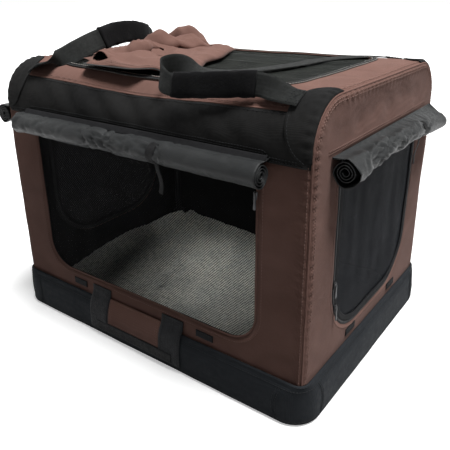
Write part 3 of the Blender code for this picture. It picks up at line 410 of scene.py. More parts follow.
@dataclass(frozen=True)
class WovenCloth(Finish):
    """Woven polyester: crossed threads with painted shade between them, soft creases, and random patches of
    fading, which on the black cloth are painted sheen.
    """

    pitch: float = 0.0012
    relief: float = 0.00012
    crease: float = 0.0011
    roughness: float = 0.82
    sheen: float = 0.15
    fade_and_sheen: float = 0.55
    gloss: float = 0.12

    def build(self, bench: Bench) -> None:
        """Threads for relief and for painted shade between them, two sizes of noise for the fading and
        painted sheen patches and for the creases.
        """
        threads = bench.threads(self.pitch)
        # Random patches of the second colour: fading, and on the black cloth painted sheen.
        cloth = self.patchy(bench, 7.0, 4.0, 0.35, 0.72, self.fade_and_sheen)
        # Painted shade: the colour darkens between the threads.
        hollows = bench.ramp(threads, -0.9, 0.4, 0.42, 0.0)
        rough = bench.ramp(bench.cloud(140.0, 2.0), 0.3, 0.7, self.roughness - 0.07, self.roughness + 0.08)
        bench.set(Base_Color=bench.blend(hollows, cloth, darker(self.colour, 0.62)), Roughness=rough)
        bench.set(Sheen_Weight=self.sheen, Sheen_Roughness=0.5, Specular_IOR_Level=self.gloss)
        creases = bench.math("MULTIPLY", bench.cloud(38.0, 3.0, (1.0, 1.0, 1.6)), self.crease)
        bench.bump(bench.math("MULTIPLY_ADD", threads, self.relief, creases), 0.7)


@dataclass(frozen=True)
class WebbingTape(Finish):
    """Woven tape: close ribs across it with painted shade between them, a herringbone of threads, and firmer
    edges with a painted highlight.
    """

    rib: float = 0.002
    half_width: float = 0.02
    sheen: float = 0.2

    def build(self, bench: Bench) -> None:
        """Ribs from the flat cloth's own coordinates."""
        across, length = bench.cloth()
        slope = bench.math("ADD", length, bench.math("PINGPONG", across, 0.0028))
        ribs = bench.math("SINE", bench.math("MULTIPLY", slope, TAU / self.rib))
        edge = bench.math("ABSOLUTE", across)
        rim = bench.ramp(edge, self.half_width - 0.0035, self.half_width - 0.002)
        tone = self.patchy(bench, 60.0, 4.0, 0.42, 0.7, 0.7)
        # Painted shade: darker between the ribs.
        tone = bench.blend(bench.ramp(ribs, -1.0, 0.6, 0.6, 0.0), tone, darker(self.colour, 0.45))
        rough = bench.ramp(bench.cloud(200.0, 2.0), 0.3, 0.7, 0.55, 0.78)
        # Painted highlight: the lighter second colour along the raised edges.
        lit = bench.blend(bench.math("MULTIPLY", rim, 0.35), tone, self.second)
        bench.set(Base_Color=lit, Roughness=rough)
        bench.set(Sheen_Weight=self.sheen, Specular_IOR_Level=0.12)
        bench.bump(bench.math("MULTIPLY_ADD", ribs, 0.00028, bench.math("MULTIPLY", rim, 0.0005)), 0.8)


@dataclass(frozen=True)
class KnittedNet(Finish):
    """Knitted net: two families of slanting threads with open holes between them."""

    pitch: float = 0.0032
    thread: float = 0.42

    def build(self, bench: Bench) -> None:
        """Threads cross on the flat cloth; the holes are see-through."""
        across, length = bench.cloth()
        waves = []
        for operation in ("ADD", "SUBTRACT"):
            slant = bench.math("MULTIPLY", bench.math(operation, across, length), math.pi / self.pitch)
            waves.append(bench.math("ABSOLUTE", bench.math("SINE", slant)))
        hollow = bench.math("MINIMUM", *waves)
        bench.set(Alpha=bench.ramp(hollow, self.thread - 0.08, self.thread + 0.08, 1.0, 0.0))
        rough = bench.ramp(hollow, 0.0, self.thread, 0.62, 0.5)
        bench.set(Base_Color=self.patchy(bench, 30.0, 3.0, 0.4, 0.7, 0.8), Roughness=rough)
        bench.set(Specular_IOR_Level=0.015)
        bench.bump(bench.math("MULTIPLY", hollow, -0.0004), 0.6)


@dataclass(frozen=True)
class SherpaFleece(Finish):
    """Curly fleece: small knots of fibre with painted shade in the hollows between them, and random grey
    patches of painted shade.
    """

    def build(self, bench: Bench) -> None:
        """Cells for the knots, noise for the fibre and for the grey patches of painted shade."""
        wobble = bench.add("TexNoise")
        bench.plug([wobble.inputs["Vector"], wobble.inputs["Scale"]], bench.where(), 90.0)
        shift = bench.vector("MULTIPLY_ADD", wobble.outputs["Color"], (0.012, 0.012, 0.012), bench.where())
        cells = bench.add("TexVoronoi", feature="SMOOTH_F1")
        sockets = [cells.inputs[name] for name in ("Vector", "Scale", "Smoothness")]
        bench.plug(sockets, shift[0], 170.0, 0.7)
        knots = cells.outputs["Distance"]
        fibre = bench.cloud(620.0, 4.0)
        # Painted shade: random grey patches of the second colour over the mat.
        tone = self.patchy(bench, 16.0, 4.0, 0.4, 0.68, 0.65)
        # Painted shade: the hollows between the knots darken.
        tone = bench.blend(bench.ramp(knots, 0.3, 0.85, 0.0, 0.65), tone, darker(self.second, 0.5))
        bench.set(Base_Color=bench.blend(bench.ramp(fibre, 0.45, 0.8, 0.0, 0.3), tone, self.second))
        bench.set(Roughness=bench.ramp(fibre, 0.3, 0.7, 0.9, 1.0))
        bench.set(Sheen_Weight=0.3, Sheen_Roughness=0.6, Specular_IOR_Level=0.1)
        bench.bump(bench.math("MULTIPLY_ADD", knots, -0.0022, bench.math("MULTIPLY", fibre, 0.0009)), 0.9)


@dataclass(frozen=True)
class PaddedSleeve(Finish):
    """Brushed knit over foam: short nap, pilling and rubbed places."""

    def build(self, bench: Bench) -> None:
        """Fine and coarse noise for nap and pilling."""
        nap, pills = bench.cloud(900.0, 3.0), bench.cloud(260.0, 2.0)
        tone = self.patchy(bench, 24.0, 3.0, 0.45, 0.7, 0.7)
        bench.set(Base_Color=bench.blend(bench.ramp(pills, 0.62, 0.75, 0.0, 0.6), tone, self.second))
        bench.set(Roughness=bench.ramp(nap, 0.3, 0.7, 0.85, 0.97), Sheen_Weight=0.05, Specular_IOR_Level=0.06)
        bench.bump(bench.math("MULTIPLY_ADD", pills, 0.0007, bench.math("MULTIPLY", nap, 0.0004)), 0.8)


@dataclass(frozen=True)
class HardFinish(Finish):
    """Coated steel, moulded plastic or cast metal: a fine skin, scuffs and grime."""

    roughness: float = 0.4
    metallic: float = 0.0
    grain: float = 900.0
    skin: float = 0.00005
    scuff: float = 0.35

    def build(self, bench: Bench) -> None:
        """Noise for the skin, stretched noise for scuffs."""
        skin = bench.cloud(self.grain, 2.0)
        scuffs = bench.ramp(bench.cloud(55.0, 5.0, (1.0, 1.0, 0.25)), 0.56, 0.66, 0.0, self.scuff)
        patchy = bench.math("MULTIPLY_ADD", scuffs, 0.35, self.roughness)
        bench.set(Base_Color=bench.blend(scuffs, self.colour, self.second))
        bench.set(Roughness=bench.math("MULTIPLY_ADD", skin, 0.12, patchy))
        bench.set(Metallic=self.metallic, Specular_IOR_Level=0.2)
        bench.bump(bench.math("MULTIPLY", skin, self.skin), 0.8)


@dataclass(frozen=True)
class HollowBoard(Finish):
    """Extruded hollow board: ribs along it, a dusty face and rubbed ribs."""

    def build(self, bench: Bench) -> None:
        """Ribs across the short way, with dust between them."""
        ribs = bench.math("SINE", bench.math("MULTIPLY", bench.split(bench.where())[1], TAU / 0.006))
        dust = bench.ramp(bench.cloud(25.0, 5.0), 0.4, 0.7, 0.0, 0.6)
        tone = bench.blend(dust, self.colour, self.second)
        bench.set(Base_Color=bench.blend(bench.ramp(ribs, -1.0, 0.0, 0.5, 0.0), tone, self.colour))
        bench.set(Roughness=bench.ramp(dust, 0.0, 0.6, 0.5, 0.8))
        bench.bump(bench.math("MULTIPLY", ribs, 0.0002), 0.7)


@dataclass(frozen=True)
class StageFloor(Finish):
    """Pale seamless floor that stays white to the camera."""

    def build(self, bench: Bench) -> None:
        """White where it is seen; it throws less light back on the crate."""
        seen = bench.seen()
        tone = bench.blend(seen, self.second, self.colour)
        bench.set(Base_Color=tone, Roughness=0.9, Specular_IOR_Level=0.0)
        bench.set(Emission_Color=(1.0, 1.0, 1.0), Emission_Strength=bench.math("MULTIPLY", seen, 0.42))


BROWN = WovenCloth("brown_woven", (0.2, 0.107, 0.086), (0.262, 0.152, 0.127), sheen=0.05)
# Painted sheen: the second colour, about four times as light as the first, stands in for highlights on the
# band's creases.
BLACK = WovenCloth(
    "black_woven", (0.01, 0.01, 0.0102), (0.038, 0.037, 0.0355), crease=0.0011, sheen=0.0, gloss=0.1
)
TRAY_BLACK = WovenCloth(
    "tray_woven", (0.02, 0.0225, 0.026), (0.034, 0.038, 0.043),
    roughness=0.72, crease=0.001, sheen=0.0, gloss=0.07,
)
LINING = WovenCloth(
    "dark_lining", (0.0075, 0.0075, 0.008), (0.013, 0.0128, 0.013),
    roughness=0.9, relief=0.00006, sheen=0.0, gloss=0.03,
)
BLIND = WovenCloth(
    "coated_back", (0.019, 0.0202, 0.021), (0.062, 0.065, 0.0645),
    roughness=0.42, crease=0.0017, sheen=0.0, gloss=0.16,
)
STRAP = WebbingTape("handle_webbing", (0.015, 0.0162, 0.0155), (0.031, 0.0335, 0.032), sheen=0.03)
STRAP_WIDE = WebbingTape(
    "base_webbing", (0.014, 0.0145, 0.016), (0.028, 0.029, 0.032), half_width=0.025, sheen=0.02
)
TIE_TAPE = WebbingTape(
    "tie_tape", (0.01, 0.01, 0.0105), (0.024, 0.024, 0.025), rib=0.0014, half_width=0.009, sheen=0.0
)
ZIP_TAPE = WovenCloth(
    "zip_tape", (0.0085, 0.0085, 0.009), (0.017, 0.017, 0.018), pitch=0.0008, crease=0.0002, sheen=0.0
)
BINDING = WovenCloth(
    "black_binding", (0.008, 0.008, 0.0088), (0.017, 0.017, 0.0185), pitch=0.001, crease=0.0004, sheen=0.0
)
NET = KnittedNet("black_net", (0.01, 0.01, 0.0105), (0.018, 0.018, 0.019), pitch=0.0046, thread=0.38)
CLOSE_NET = KnittedNet("close_black_net", (0.008, 0.009, 0.0115), (0.014, 0.0155, 0.019), thread=0.91)
# Painted shade: this net has no holes and is darker than the others, so the left window shows dark.
SHADED_NET = KnittedNet("shaded_black_net", (0.005, 0.005, 0.0055), (0.01, 0.01, 0.0105), thread=1.05)
ROOF_NET = KnittedNet("roof_net", (0.026, 0.0285, 0.026), (0.046, 0.05, 0.045), thread=0.56)
# The second colour is the grey of the mat's painted shade.
FLEECE = SherpaFleece("curly_fleece", (0.86, 0.86, 0.77), (0.52, 0.55, 0.52))
SLEEVE = PaddedSleeve("grip_sleeve", (0.0075, 0.0075, 0.008), (0.019, 0.019, 0.02))
STEEL = HardFinish("coated_steel", (0.035, 0.036, 0.04), (0.09, 0.09, 0.095), 0.35, 0.4)
PLASTIC = HardFinish("moulded_plastic", (0.014, 0.014, 0.015), (0.04, 0.04, 0.042), 0.45, skin=0.00008)
METAL = HardFinish("cast_zip_metal", (0.04, 0.04, 0.042), (0.36, 0.36, 0.37), 0.34, 0.45, 1500.0, 0.00003)
COIL = HardFinish("zip_coil", (0.01, 0.01, 0.011), (0.03, 0.03, 0.032), 0.35, skin=0.00002)
THREAD_BROWN = HardFinish("brown_thread", (0.29, 0.185, 0.155), (0.15, 0.085, 0.07), 0.8, skin=0.00004)
THREAD_BLACK = HardFinish("black_thread", (0.026, 0.027, 0.029), (0.013, 0.013, 0.014), 0.7, skin=0.00004)
THREAD_PALE = HardFinish("pale_thread", (0.5, 0.47, 0.43), (0.36, 0.33, 0.3), 0.7, skin=0.00004)
BOARD = HollowBoard("hollow_board", (0.13, 0.125, 0.12), (0.22, 0.215, 0.205))


class Wall(Enum):
    """The three walls that have a mesh door."""

    FRONT = "front"
    RIGHT = "right"
    LEFT = "left"

    def at(self, along_wall: float, up: float, depth: float) -> Vector:
        """Point from its place along the wall, its height and its distance from the crate's middle."""
        if self is Wall.FRONT:
            return Vector((along_wall, -depth, up))
        return Vector((depth if self is Wall.RIGHT else -depth, along_wall, up))

    def outward(self) -> Vector:
        """The wall's outward direction."""
        return self.at(0.0, 0.0, 1.0)

    @property
    def depth(self) -> float:
        """Distance of the wall's face from the crate's middle."""
        return SHAPE.half_y if self is Wall.FRONT else SHAPE.half_x

    def on_cloth(self, along_wall: float, up: float, lift: float) -> Vector:
        """Point on the wall's slack cloth, lifted off it."""
        slack = DRAPE.waves(self.at(along_wall, up, self.depth))
        return self.at(along_wall, up, self.depth + slack + lift)


@dataclass(frozen=True)
class CoverShape:
    """The crate's outer surface: one section swept from end to end, with rounded rims."""

    half_x: float = 0.338
    half_y: float = 0.248
    height: float = 0.52
    top_radius: float = 0.075
    rim: float = 0.012

    @property
    def s_front(self) -> float:
        """Where the front's upright part ends, along the section."""
        return self.height - self.top_radius

    @property
    def arc(self) -> float:
        """Length of a rounded top edge."""
        return self.top_radius * math.pi / 2

    @property
    def s_roof(self) -> float:
        """Where the roof's flat part starts."""
        return self.s_front + self.arc

    @property
    def s_roof_end(self) -> float:
        """Where the roof's flat part ends."""
        return self.s_roof + 2 * (self.half_y - self.top_radius)

    @property
    def s_back(self) -> float:
        """Where the back's upright part starts."""
        return self.s_roof_end + self.arc

    @property
    def s_end(self) -> float:
        """The back wall's foot."""
        return self.s_back + self.s_front

    def section(self, s: float) -> tuple[Vector, Vector]:
        """Point and outward normal of the section, s metres from the front foot."""
        inner = self.half_y - self.top_radius
        if s <= self.s_front:
            return Vector((0, -self.half_y, s)), Vector((0, -1, 0))
        if s < self.s_roof:
            turn = (s - self.s_front) / self.top_radius
            normal = Vector((0, -math.cos(turn), math.sin(turn)))
            return Vector((0, -inner, self.s_front)) + normal * self.top_radius, normal
        if s <= self.s_roof_end:
            return Vector((0, s - self.s_roof - inner, self.height)), Vector((0, 0, 1))
        if s < self.s_back:
            turn = (s - self.s_roof_end) / self.top_radius
            normal = Vector((0, math.sin(turn), math.cos(turn)))
            return Vector((0, inner, self.s_front)) + normal * self.top_radius, normal
        return Vector((0, self.half_y, self.s_end - s)), Vector((0, 1, 0))

    @property
    def reach(self) -> float:
        """Distance from the middle of a long face to its end seam, along the cloth."""
        return self.half_x - self.rim + self.rim * math.pi / 4

    def at(self, s: float, v: float) -> tuple[Vector, Vector]:
        """Point and normal of the surface, v metres sideways along the cloth."""
        point, normal = self.section(s)
        radius = self.rim
        flat = self.half_x - radius
        if abs(v) <= flat:
            return point + Vector((v, 0, 0)), normal
        side = math.copysign(1.0, v)
        turn = (abs(v) - flat) / radius
        out = Vector((side * math.sin(turn), 0, 0)) + normal * math.cos(turn)
        return point - normal * radius + Vector((side * flat, 0, 0)) + out * radius, out

    def roof_s(self, y: float) -> float:
        """Place along the section of a point of the roof."""
        return self.s_roof + y + self.half_y - self.top_radius


SHAPE = CoverShape()
S_FRONT_SEAM = SHAPE.s_front + SHAPE.arc / 2
S_BACK_SEAM = SHAPE.s_roof_end + SHAPE.arc / 2
CENTRE = Vector((0.0, 0.0, 0.26))


@dataclass(frozen=True)
class Drape:
    """How far the stretched cover stands off its plain shape: waves, puckers, folds and sag."""

    wave: float = 0.0019
    pucker: float = 0.0019
    pucker_pitch: float = 0.015
    sag: float = 0.015

    def waves(self, point: Vector) -> float:
        """Slow waves that every piece of the cover shares, so that neighbours move together."""
        return self.wave * (noise.noise(point * 7.0) + 0.4 * noise.noise(point * 19.0 + Vector((3.1, 0, 0))))

    def puckers(self, run: float, distance: float) -> float:
        """Gathers beside a seam, from the place along it and the distance from it."""
        uneven = 0.6 + 0.6 * noise.noise(Vector((run * 9.0, 4.2, distance * 8.0)))
        phase = TAU * run / self.pucker_pitch + 2.0 * noise.noise(Vector((run * 22.0, 0.0, 7.7)))
        near = bell(distance - 0.007, 0.009) * (1.0 - bell(distance, 0.0035))
        return self.pucker * uneven * math.cos(phase) * near

    def roof(self, s: float, v: float) -> float:
        """Sag of the roof between its rails and of its rounded edges between the uprights."""
        point = SHAPE.section(s)[0]
        span = max(1.0 - (v / 0.325) ** 2, 0.0) ** 1.5
        edge = bell(s - S_FRONT_SEAM, 0.055) * (0.8 + 0.45 * bell(v + 0.03, 0.14))
        edge += 0.6 * bell(s - S_BACK_SEAM, 0.055)
        middle = max(1.0 - (point.y / 0.15) ** 2, 0.0) if SHAPE.s_roof < s < SHAPE.s_roof_end else 0.0
        return -self.sag * span * (edge + 0.35 * middle)

    def folds(self, s: float, v: float) -> float:
        """Slack folds that slant across the black front band."""
        up = (s - 0.436) / (S_FRONT_SEAM - 0.436)
        if not 0.0 < up < 1.0:
            return 0.0
        slant = v * 0.8 + s * 0.62
        bend = 0.012 * noise.noise(Vector((v * 5.0, s * 9.0, 2.0)))
        fold = abs(math.sin(math.pi * (slant + 1.6 * bend) / 0.056)) ** 1.6 - 0.44
        slack = 0.35 + 0.65 * bell(v + 0.06, 0.16)
        return 0.0088 * fold * slack * math.sin(math.pi * up) ** 0.8 * max(1.0 - (v / 0.3) ** 4, 0.0)

    def long_face(self, s: float, v: float) -> float:
        """The whole relief of a long face or the roof."""
        point = SHAPE.at(s, v)[0]
        edge = SHAPE.reach - abs(v)
        lift = self.waves(point) + self.puckers(s, edge) + self.roof(s, v) + self.folds(s, v)
        for seam in (S_FRONT_SEAM, S_BACK_SEAM):
            lift += 0.8 * self.puckers(v + 3.0, abs(s - seam)) * smooth_step(edge / 0.03)
        return lift

    def end_face(self, s: float, distance: float, point: Vector) -> float:
        """The whole relief of an end panel, from the nearest place on its seam."""
        lift = self.waves(point) + 1.25 * self.puckers(s, distance)
        belly = max(1.0 - (point.y / 0.215) ** 4, 0.0) * bell(point.z - 0.47, 0.03)
        return lift - 0.0025 * belly * (1.0 + noise.noise(point * 24.0))


DRAPE = Drape()


class Seamstress:
    """Sews lines of real stitches and keeps those of one thread together in one piece."""

    def __init__(self, name: str, body: str, slot: str, thread: Finish) -> None:
        """Starts a piece of stitching on one body."""
        self.name, self.body, self.slot, self.thread = name, body, slot, thread
        self.layout = Layout()

    def sew(self, run: Run, pitch: float = 0.0052, length: float = 0.0036, width: float = 0.0005) -> None:
        """Adds one line of stitches.

        Args:
            run: points on the cloth, with the cloth's outward normal.
            pitch: distance from one stitch to the next.
            length: length of a stitch.
            width: half of a stitch's width.
        """
        marks = resample(run, pitch)
        for (start, normal), (goal, _) in zip(marks, marks[1:]):
            way = (goal - start).normalized()
            side = way.cross(normal).normalized() * width
            rings = []
            for share, size in ((0.0, 0.25), (0.2, 1.0), (0.8, 1.0), (1.0, 0.25)):
                middle = start + way * length * share
                up = normal * width * 1.3 * size
                ring = (middle + side * size, middle + up, middle - side * size, middle - up)
                rings.append(self.layout.row(ring))
            self.layout.fill(rings, closed=True, ends=True)

    def loose(self) -> Object:
        """The stitching as a piece that has no body yet."""
        return self.layout.piece(self.name, self.thread)

    def done(self) -> Object:
        """Makes the piece of stitching."""
        return place(self.loose(), self.body, self.slot)


def cover_run(spots: Iterable[Spot], lift: float = 0.0004) -> Run:
    """Points and normals on a long face of the draped cover, from (s, v) places."""
    out: Run = []
    for s, v in spots:
        point, normal = SHAPE.at(s, v)
        out.append((point + normal * (DRAPE.long_face(s, v) + lift), normal))
    return out


def wall_run(wall: Wall, spots: Iterable[Spot], lift: float = 0.0) -> Run:
    """Points and normals on an upright wall, from places along it and their heights."""
    return [(wall.on_cloth(a, b, lift), wall.outward()) for a, b in spots]


def run_frames(run: Run, closed: bool = False) -> list[tuple[Vector, Vector, Vector, float]]:
    """Point, direction across, normal and length so far, for each point of a run."""
    frames, passed, count = [], 0.0, len(run)
    for i, (point, normal) in enumerate(run):
        before = run[(i - 1) % count][0] if closed or i > 0 else point
        after = run[(i + 1) % count][0] if closed or i < count - 1 else point
        passed += (point - run[max(i - 1, 0)][0]).length
        frames.append((point, (after - before).normalized().cross(normal).normalized(), normal, passed))
    return frames


def ribbon(
    name: str, finish: Finish, run: Run, half_width: float, thickness: float, closed: bool = False
) -> Object:
    """Tape that follows a run and lies on the surface there.

    Args:
        name: the piece's name.
        finish: its finish.
        run: its middle line, with the normals of the surface below.
        half_width: half of its width.
        thickness: its thickness, above the surface.
        closed: whether it closes on itself.

    Returns:
        The tape.
    """
    upper, lower = spread(-1.0, 1.0, 7), spread(1.0, -1.0, 7)
    rings, cloths = [], []
    for point, side, normal, passed in run_frames(run, closed):
        high = [thickness * (1.0 - 0.5 * abs(step) ** 6) for step in upper]
        ring = [point + side * half_width * step + normal * up for step, up in zip(upper, high)]
        rings.append(ring + [point + side * half_width * step * 0.985 for step in lower])
        cloths.append([(half_width * step, passed) for step in upper + lower])
    return loft(name, finish, rings, cloths, closed)


def cord_ridge(name: str, finish: Finish, run: Run, radius: float) -> Object:
    """Round ridge, such as a felled seam, half sunk in the cloth along a run."""
    turns = [TAU * k / 10 for k in range(10)]
    rings = []
    for point, side, normal, _ in run_frames(run):
        rings.append([point + (side * math.cos(t) + normal * math.sin(t)) * radius for t in turns])
    return loft(name, finish, rings)


@dataclass(frozen=True)
class WindowShape:
    """Opening of a mesh door in its wall, with rounded lower corners."""

    wall: Wall
    half: float
    foot: float
    radius: float = 0.06
    top: float = 0.43
    top_radius: float = 0.004
    zip_width: float = 0.0095

    @property
    def area(self) -> float:
        """Area of the opening, with its corners."""
        return 2 * self.half * (self.top - self.foot)

    def sides(
        self, inset: float = 0.0, drop: float = 0.0, top_radius: float | None = None
    ) -> list[list[Spot]]:
        """Its outline, moved inward by an inset and lowered at the top."""
        upper = self.top_radius if top_radius is None else top_radius
        low, high = self.foot + inset, self.top - drop
        return rounded_sides(self.half - inset, low, high, self.radius - inset, upper)

    def zip_path(self, inset: float) -> list[Spot]:
        """Open path down one side, round the foot and up the other, that far inside the outline."""
        lower, right, _, left = self.sides(inset, 0.002, 0.003)
        stop = self.top - 0.005
        path = [spot for spot in left[4:] if spot[1] < stop] + lower[1:]
        path += [spot for spot in right[1:-4] if spot[1] < stop]
        return [(-self.half + inset, stop)] + path + [(self.half - inset, stop)]


FRONT_WINDOW = WindowShape(Wall.FRONT, 0.256, 0.11, zip_width=0.006)
RIGHT_WINDOW = WindowShape(Wall.RIGHT, 0.167, 0.1, 0.108)
LEFT_WINDOW = WindowShape(Wall.LEFT, 0.167, 0.1, 0.108)
ROOF_HALF_X = 0.25
ROOF_HALF_Y = 0.18
ROOF_CORNER = 0.05


def ring_rows(
    layout: Layout, outer: Sides, inner: Sides, rows: int, step: float, put: Put
) -> list[int]:
    """Lays out a sheet between two outlines, row by row.

    Args:
        layout: where it is laid out.
        outer: the four sides of its outer edge.
        inner: the four sides of its opening, in the same order.
        rows: rows of points between the two.
        step: distance between the points of a row.
        put: gives the place in space of a point of the flat cloth.

    Returns:
        The indexes of the points along the opening.
    """
    pairs: list[tuple[Spot, Spot]] = []
    for far, near in zip(outer, inner):
        count = max(int(length_of(far) / step), 4)
        pairs += [(along(far, i / count), along(near, i / count)) for i in range(count)]
    lines = []
    for share in spread(0.0, 1.0, rows + 1):
        flat = [between(far, near, share) for far, near in pairs]
        lines.append(layout.row([put(spot) for spot in flat], flat))
    layout.fill(lines, closed=True)
    return lines[-1]


def close_middle(layout: Layout, loop: list[int], put: Put) -> None:
    """Closes a ring's opening with rows that shrink to its centre."""
    flat = [layout.cloth[i] for i in loop]
    middle = (sum(a for a, _ in flat) / len(flat), sum(b for _, b in flat) / len(flat))
    rows = [loop]
    for share in (0.8, 0.6, 0.4, 0.2):
        spots = [between(middle, spot, share) for spot in flat]
        rows.append(layout.row([put(spot) for spot in spots], spots))
    layout.fill(rows, closed=True)
    hub = layout.row([put(middle)], [middle])[0]
    layout.faces += [(a, b, hub) for a, b in zip(rows[-1], rows[-1][1:] + rows[-1][:1])]


@dataclass
class SewnCover:
    """Brown walls, ends and roof, black bands and corner patches, with their seams and stitches."""

    foot: float = 0.006
    band_foot: float = 0.4346
    side_foot: float = 0.4262
    lap: float = 0.0034
    gap: float = 0.0006
    cloth: float = 0.0024
    step: float = 0.0052
    patch_half: float = 0.07
    patch_depth: float = 0.044

    def on_long_face(self, spot: Spot) -> Vector:
        """Place of a point (v, s) of the draped long faces."""
        v, s = spot
        point, normal = SHAPE.at(s, v)
        return point + normal * DRAPE.long_face(s, v)

    def under_band(self, spot: Spot) -> Vector:
        """Place of a point (v, s) of the front wall, which goes under the band's hem."""
        point = self.on_long_face(spot)
        sunk = 0.0014 * smooth_step((spot[1] - self.hem(spot[0]) + 0.003) / 0.003)
        return point - SHAPE.at(spot[1], spot[0])[1] * sunk

    def hem(self, v: float) -> float:
        """Height of the front band's hem: over the door's seam, and lower on both sides of it."""
        beside = smooth_step((abs(v) - FRONT_WINDOW.half - 0.004) / 0.008)
        return self.band_foot + (self.side_foot - self.band_foot) * beside

    def panel(
        self, layout: Layout, name: str, node: str, size: Spot
    ) -> Object:
        """Makes a lined panel from its layout.

        Args:
            layout: the panel, laid out.
            name: its name; bands are black and all others brown.
            node: the solid that it stands for.
            size: not used.

        Returns:
            The panel.
        """
        black = name.endswith("_band")
        made = thicken(layout.piece(name, BLACK if black else BROWN, CENTRE), self.cloth, LINING)
        place(made, "crate", "black_cloth" if black else "brown_cloth", node)
        return made

    def sheet(self, name: str, low: Callable[[float], float], high: float, node: str) -> Object:
        """Unbroken sheet of the cover, from its lower hem to a place along the section."""
        layout = Layout()
        reach = SHAPE.reach - self.gap
        across = spread(-reach, reach, int(2 * SHAPE.reach / self.step))
        lines = []
        for share in spread(0.0, 1.0, max(int((high - low(0.0)) / self.step), 4)):
            spots = [(v, low(v) + (high - low(v)) * share) for v in across]
            lines.append(layout.row([self.on_long_face(spot) for spot in spots], spots))
        layout.fill(lines)
        size = (2 * SHAPE.reach, high - low(0.0))
        return self.panel(layout, name, node, size)

    def front_wall(self) -> Object:
        """Front wall round its window."""
        layout = Layout()
        reach = SHAPE.reach - self.gap
        high = self.side_foot + self.lap
        outer = [
            [(-reach, self.foot), (reach, self.foot)],
            [(reach, self.foot), (reach, high)],
            [(v, self.hem(v) + self.lap) for v in spread(reach, -reach, 160)],
            [(-reach, high), (-reach, self.foot)],
        ]
        ring_rows(layout, outer, FRONT_WINDOW.sides(self.lap), 13, self.step, self.under_band)
        size = (2 * reach, self.band_foot + self.lap - self.foot)
        return self.panel(layout, "front_wall", "front_panel", size)

    def roof(self) -> Object:
        """Roof round its window, down to the seams on both rounded edges."""
        layout = Layout()
        low, high, reach = S_FRONT_SEAM + self.gap, S_BACK_SEAM - self.gap, SHAPE.reach - self.gap
        runs = spread(low, high, 60)
        outer = [[(-reach, low), (reach, low)], [(reach, s) for s in runs]]
        outer += [[(reach, high), (-reach, high)], [(-reach, s) for s in reversed(runs)]]
        front, back = SHAPE.roof_s(-ROOF_HALF_Y), SHAPE.roof_s(ROOF_HALF_Y)
        inner = rounded_sides(ROOF_HALF_X, front, back, ROOF_CORNER, ROOF_CORNER)
        ring_rows(layout, outer, inner, 16, self.step, self.on_long_face)
        size = (2 * SHAPE.reach, high - low)
        return self.panel(layout, "roof_cover", "roof_panel", size)

    def end(self, window: WindowShape) -> Object:
        """End panel: a rounded rim from the seam, and the flat face round its window."""
        wall, layout = window.wall, Layout()
        stops = [self.foot]
        while stops[-1] < SHAPE.s_end - self.foot - self.step:
            stops.append(stops[-1] + self.step)
        stops[-1] = SHAPE.s_end - self.foot
        rims: list[list[int]] = []
        for k in range(5):
            turn = math.pi / 4 * (1 + k / 4)
            v = SHAPE.half_x - SHAPE.rim + SHAPE.rim * turn + (self.gap if k == 0 else 0.0)
            points = []
            for s in stops:
                point, normal = SHAPE.at(s, wall.outward().x * v)
                points.append(point + normal * DRAPE.end_face(s, SHAPE.rim * (turn - math.pi / 4), point))
            rims.append(layout.row(points))
        inner = [point - normal * SHAPE.rim for point, normal in (SHAPE.section(s) for s in stops)]
        flat = [(p.y, p.z) for p in inner]
        bottom = [(a, self.foot) for a in spread(flat[-1][0], flat[0][0], 70)][1:-1]
        spots = flat + bottom
        seams = [min(range(len(stops)), key=lambda i: abs(stops[i] - s)) for s in (S_FRONT_SEAM, S_BACK_SEAM)]
        cuts = [0, *seams, len(stops) - 1, len(spots)]
        matched: list[Spot] = []
        for hole, start, stop in zip(reversed(window.sides(0.0015)), cuts, cuts[1:]):
            matched += [along(hole[::-1], i / (stop - start)) for i in range(stop - start)]
        lines = [rims[-1] + layout.row(wall.at(a, b, SHAPE.half_x) for a, b in bottom)]
        for share in spread(0.0, 1.0, 14)[1:]:
            points = []
            for i, (far, near) in enumerate(zip(spots, matched)):
                spot = between(far, near, share)
                point = wall.at(*spot, SHAPE.half_x)
                distance = SHAPE.rim * math.pi / 4 + math.dist(far, spot)
                shift = DRAPE.end_face(stops[i], distance, point) if i < len(stops) else DRAPE.waves(point)
                points.append(wall.at(*spot, SHAPE.half_x + shift))
            lines.append(layout.row(points))
        layout.fill(rims)
        layout.fill(lines, closed=True)
        name, size = wall.value, (2 * SHAPE.half_y, SHAPE.height)
        return self.panel(layout, name + "_end_cover", name + "_end_panel", size)

    def patch(self, end: str, side: str) -> tuple[Object, Run]:
        """Fan-shaped black patch over a top corner, and the line of its inner edge."""
        sign = 1.0 if side == "right" else -1.0
        middle = S_FRONT_SEAM if end == "front" else S_BACK_SEAM
        reach = SHAPE.reach - 0.0012
        layout = Layout()
        lines, edge = [], []
        for t in spread(-0.985, 0.985, 40):
            s = middle + self.patch_half * t
            width = 0.006 + self.patch_depth * math.sqrt(1 - t * t)
            spots = [(sign * (reach - width * j / 14), s) for j in range(15)]
            run = shifted(cover_run((s, v) for v, s in spots), 0.0012)
            lines.append(layout.row([point for point, _ in run], spots))
            edge.append((s, sign * (reach - width + 0.004)))
        layout.fill(lines)
        made = thicken(layout.piece(f"{end}_{side}_patch", BLACK, CENTRE), 0.0014)
        made.modifiers["cloth"].offset = 0.0
        place(made, "crate", "black_cloth", f"{end}_{side}_corner_patch")
        return made, cover_run(edge, 0.0022)

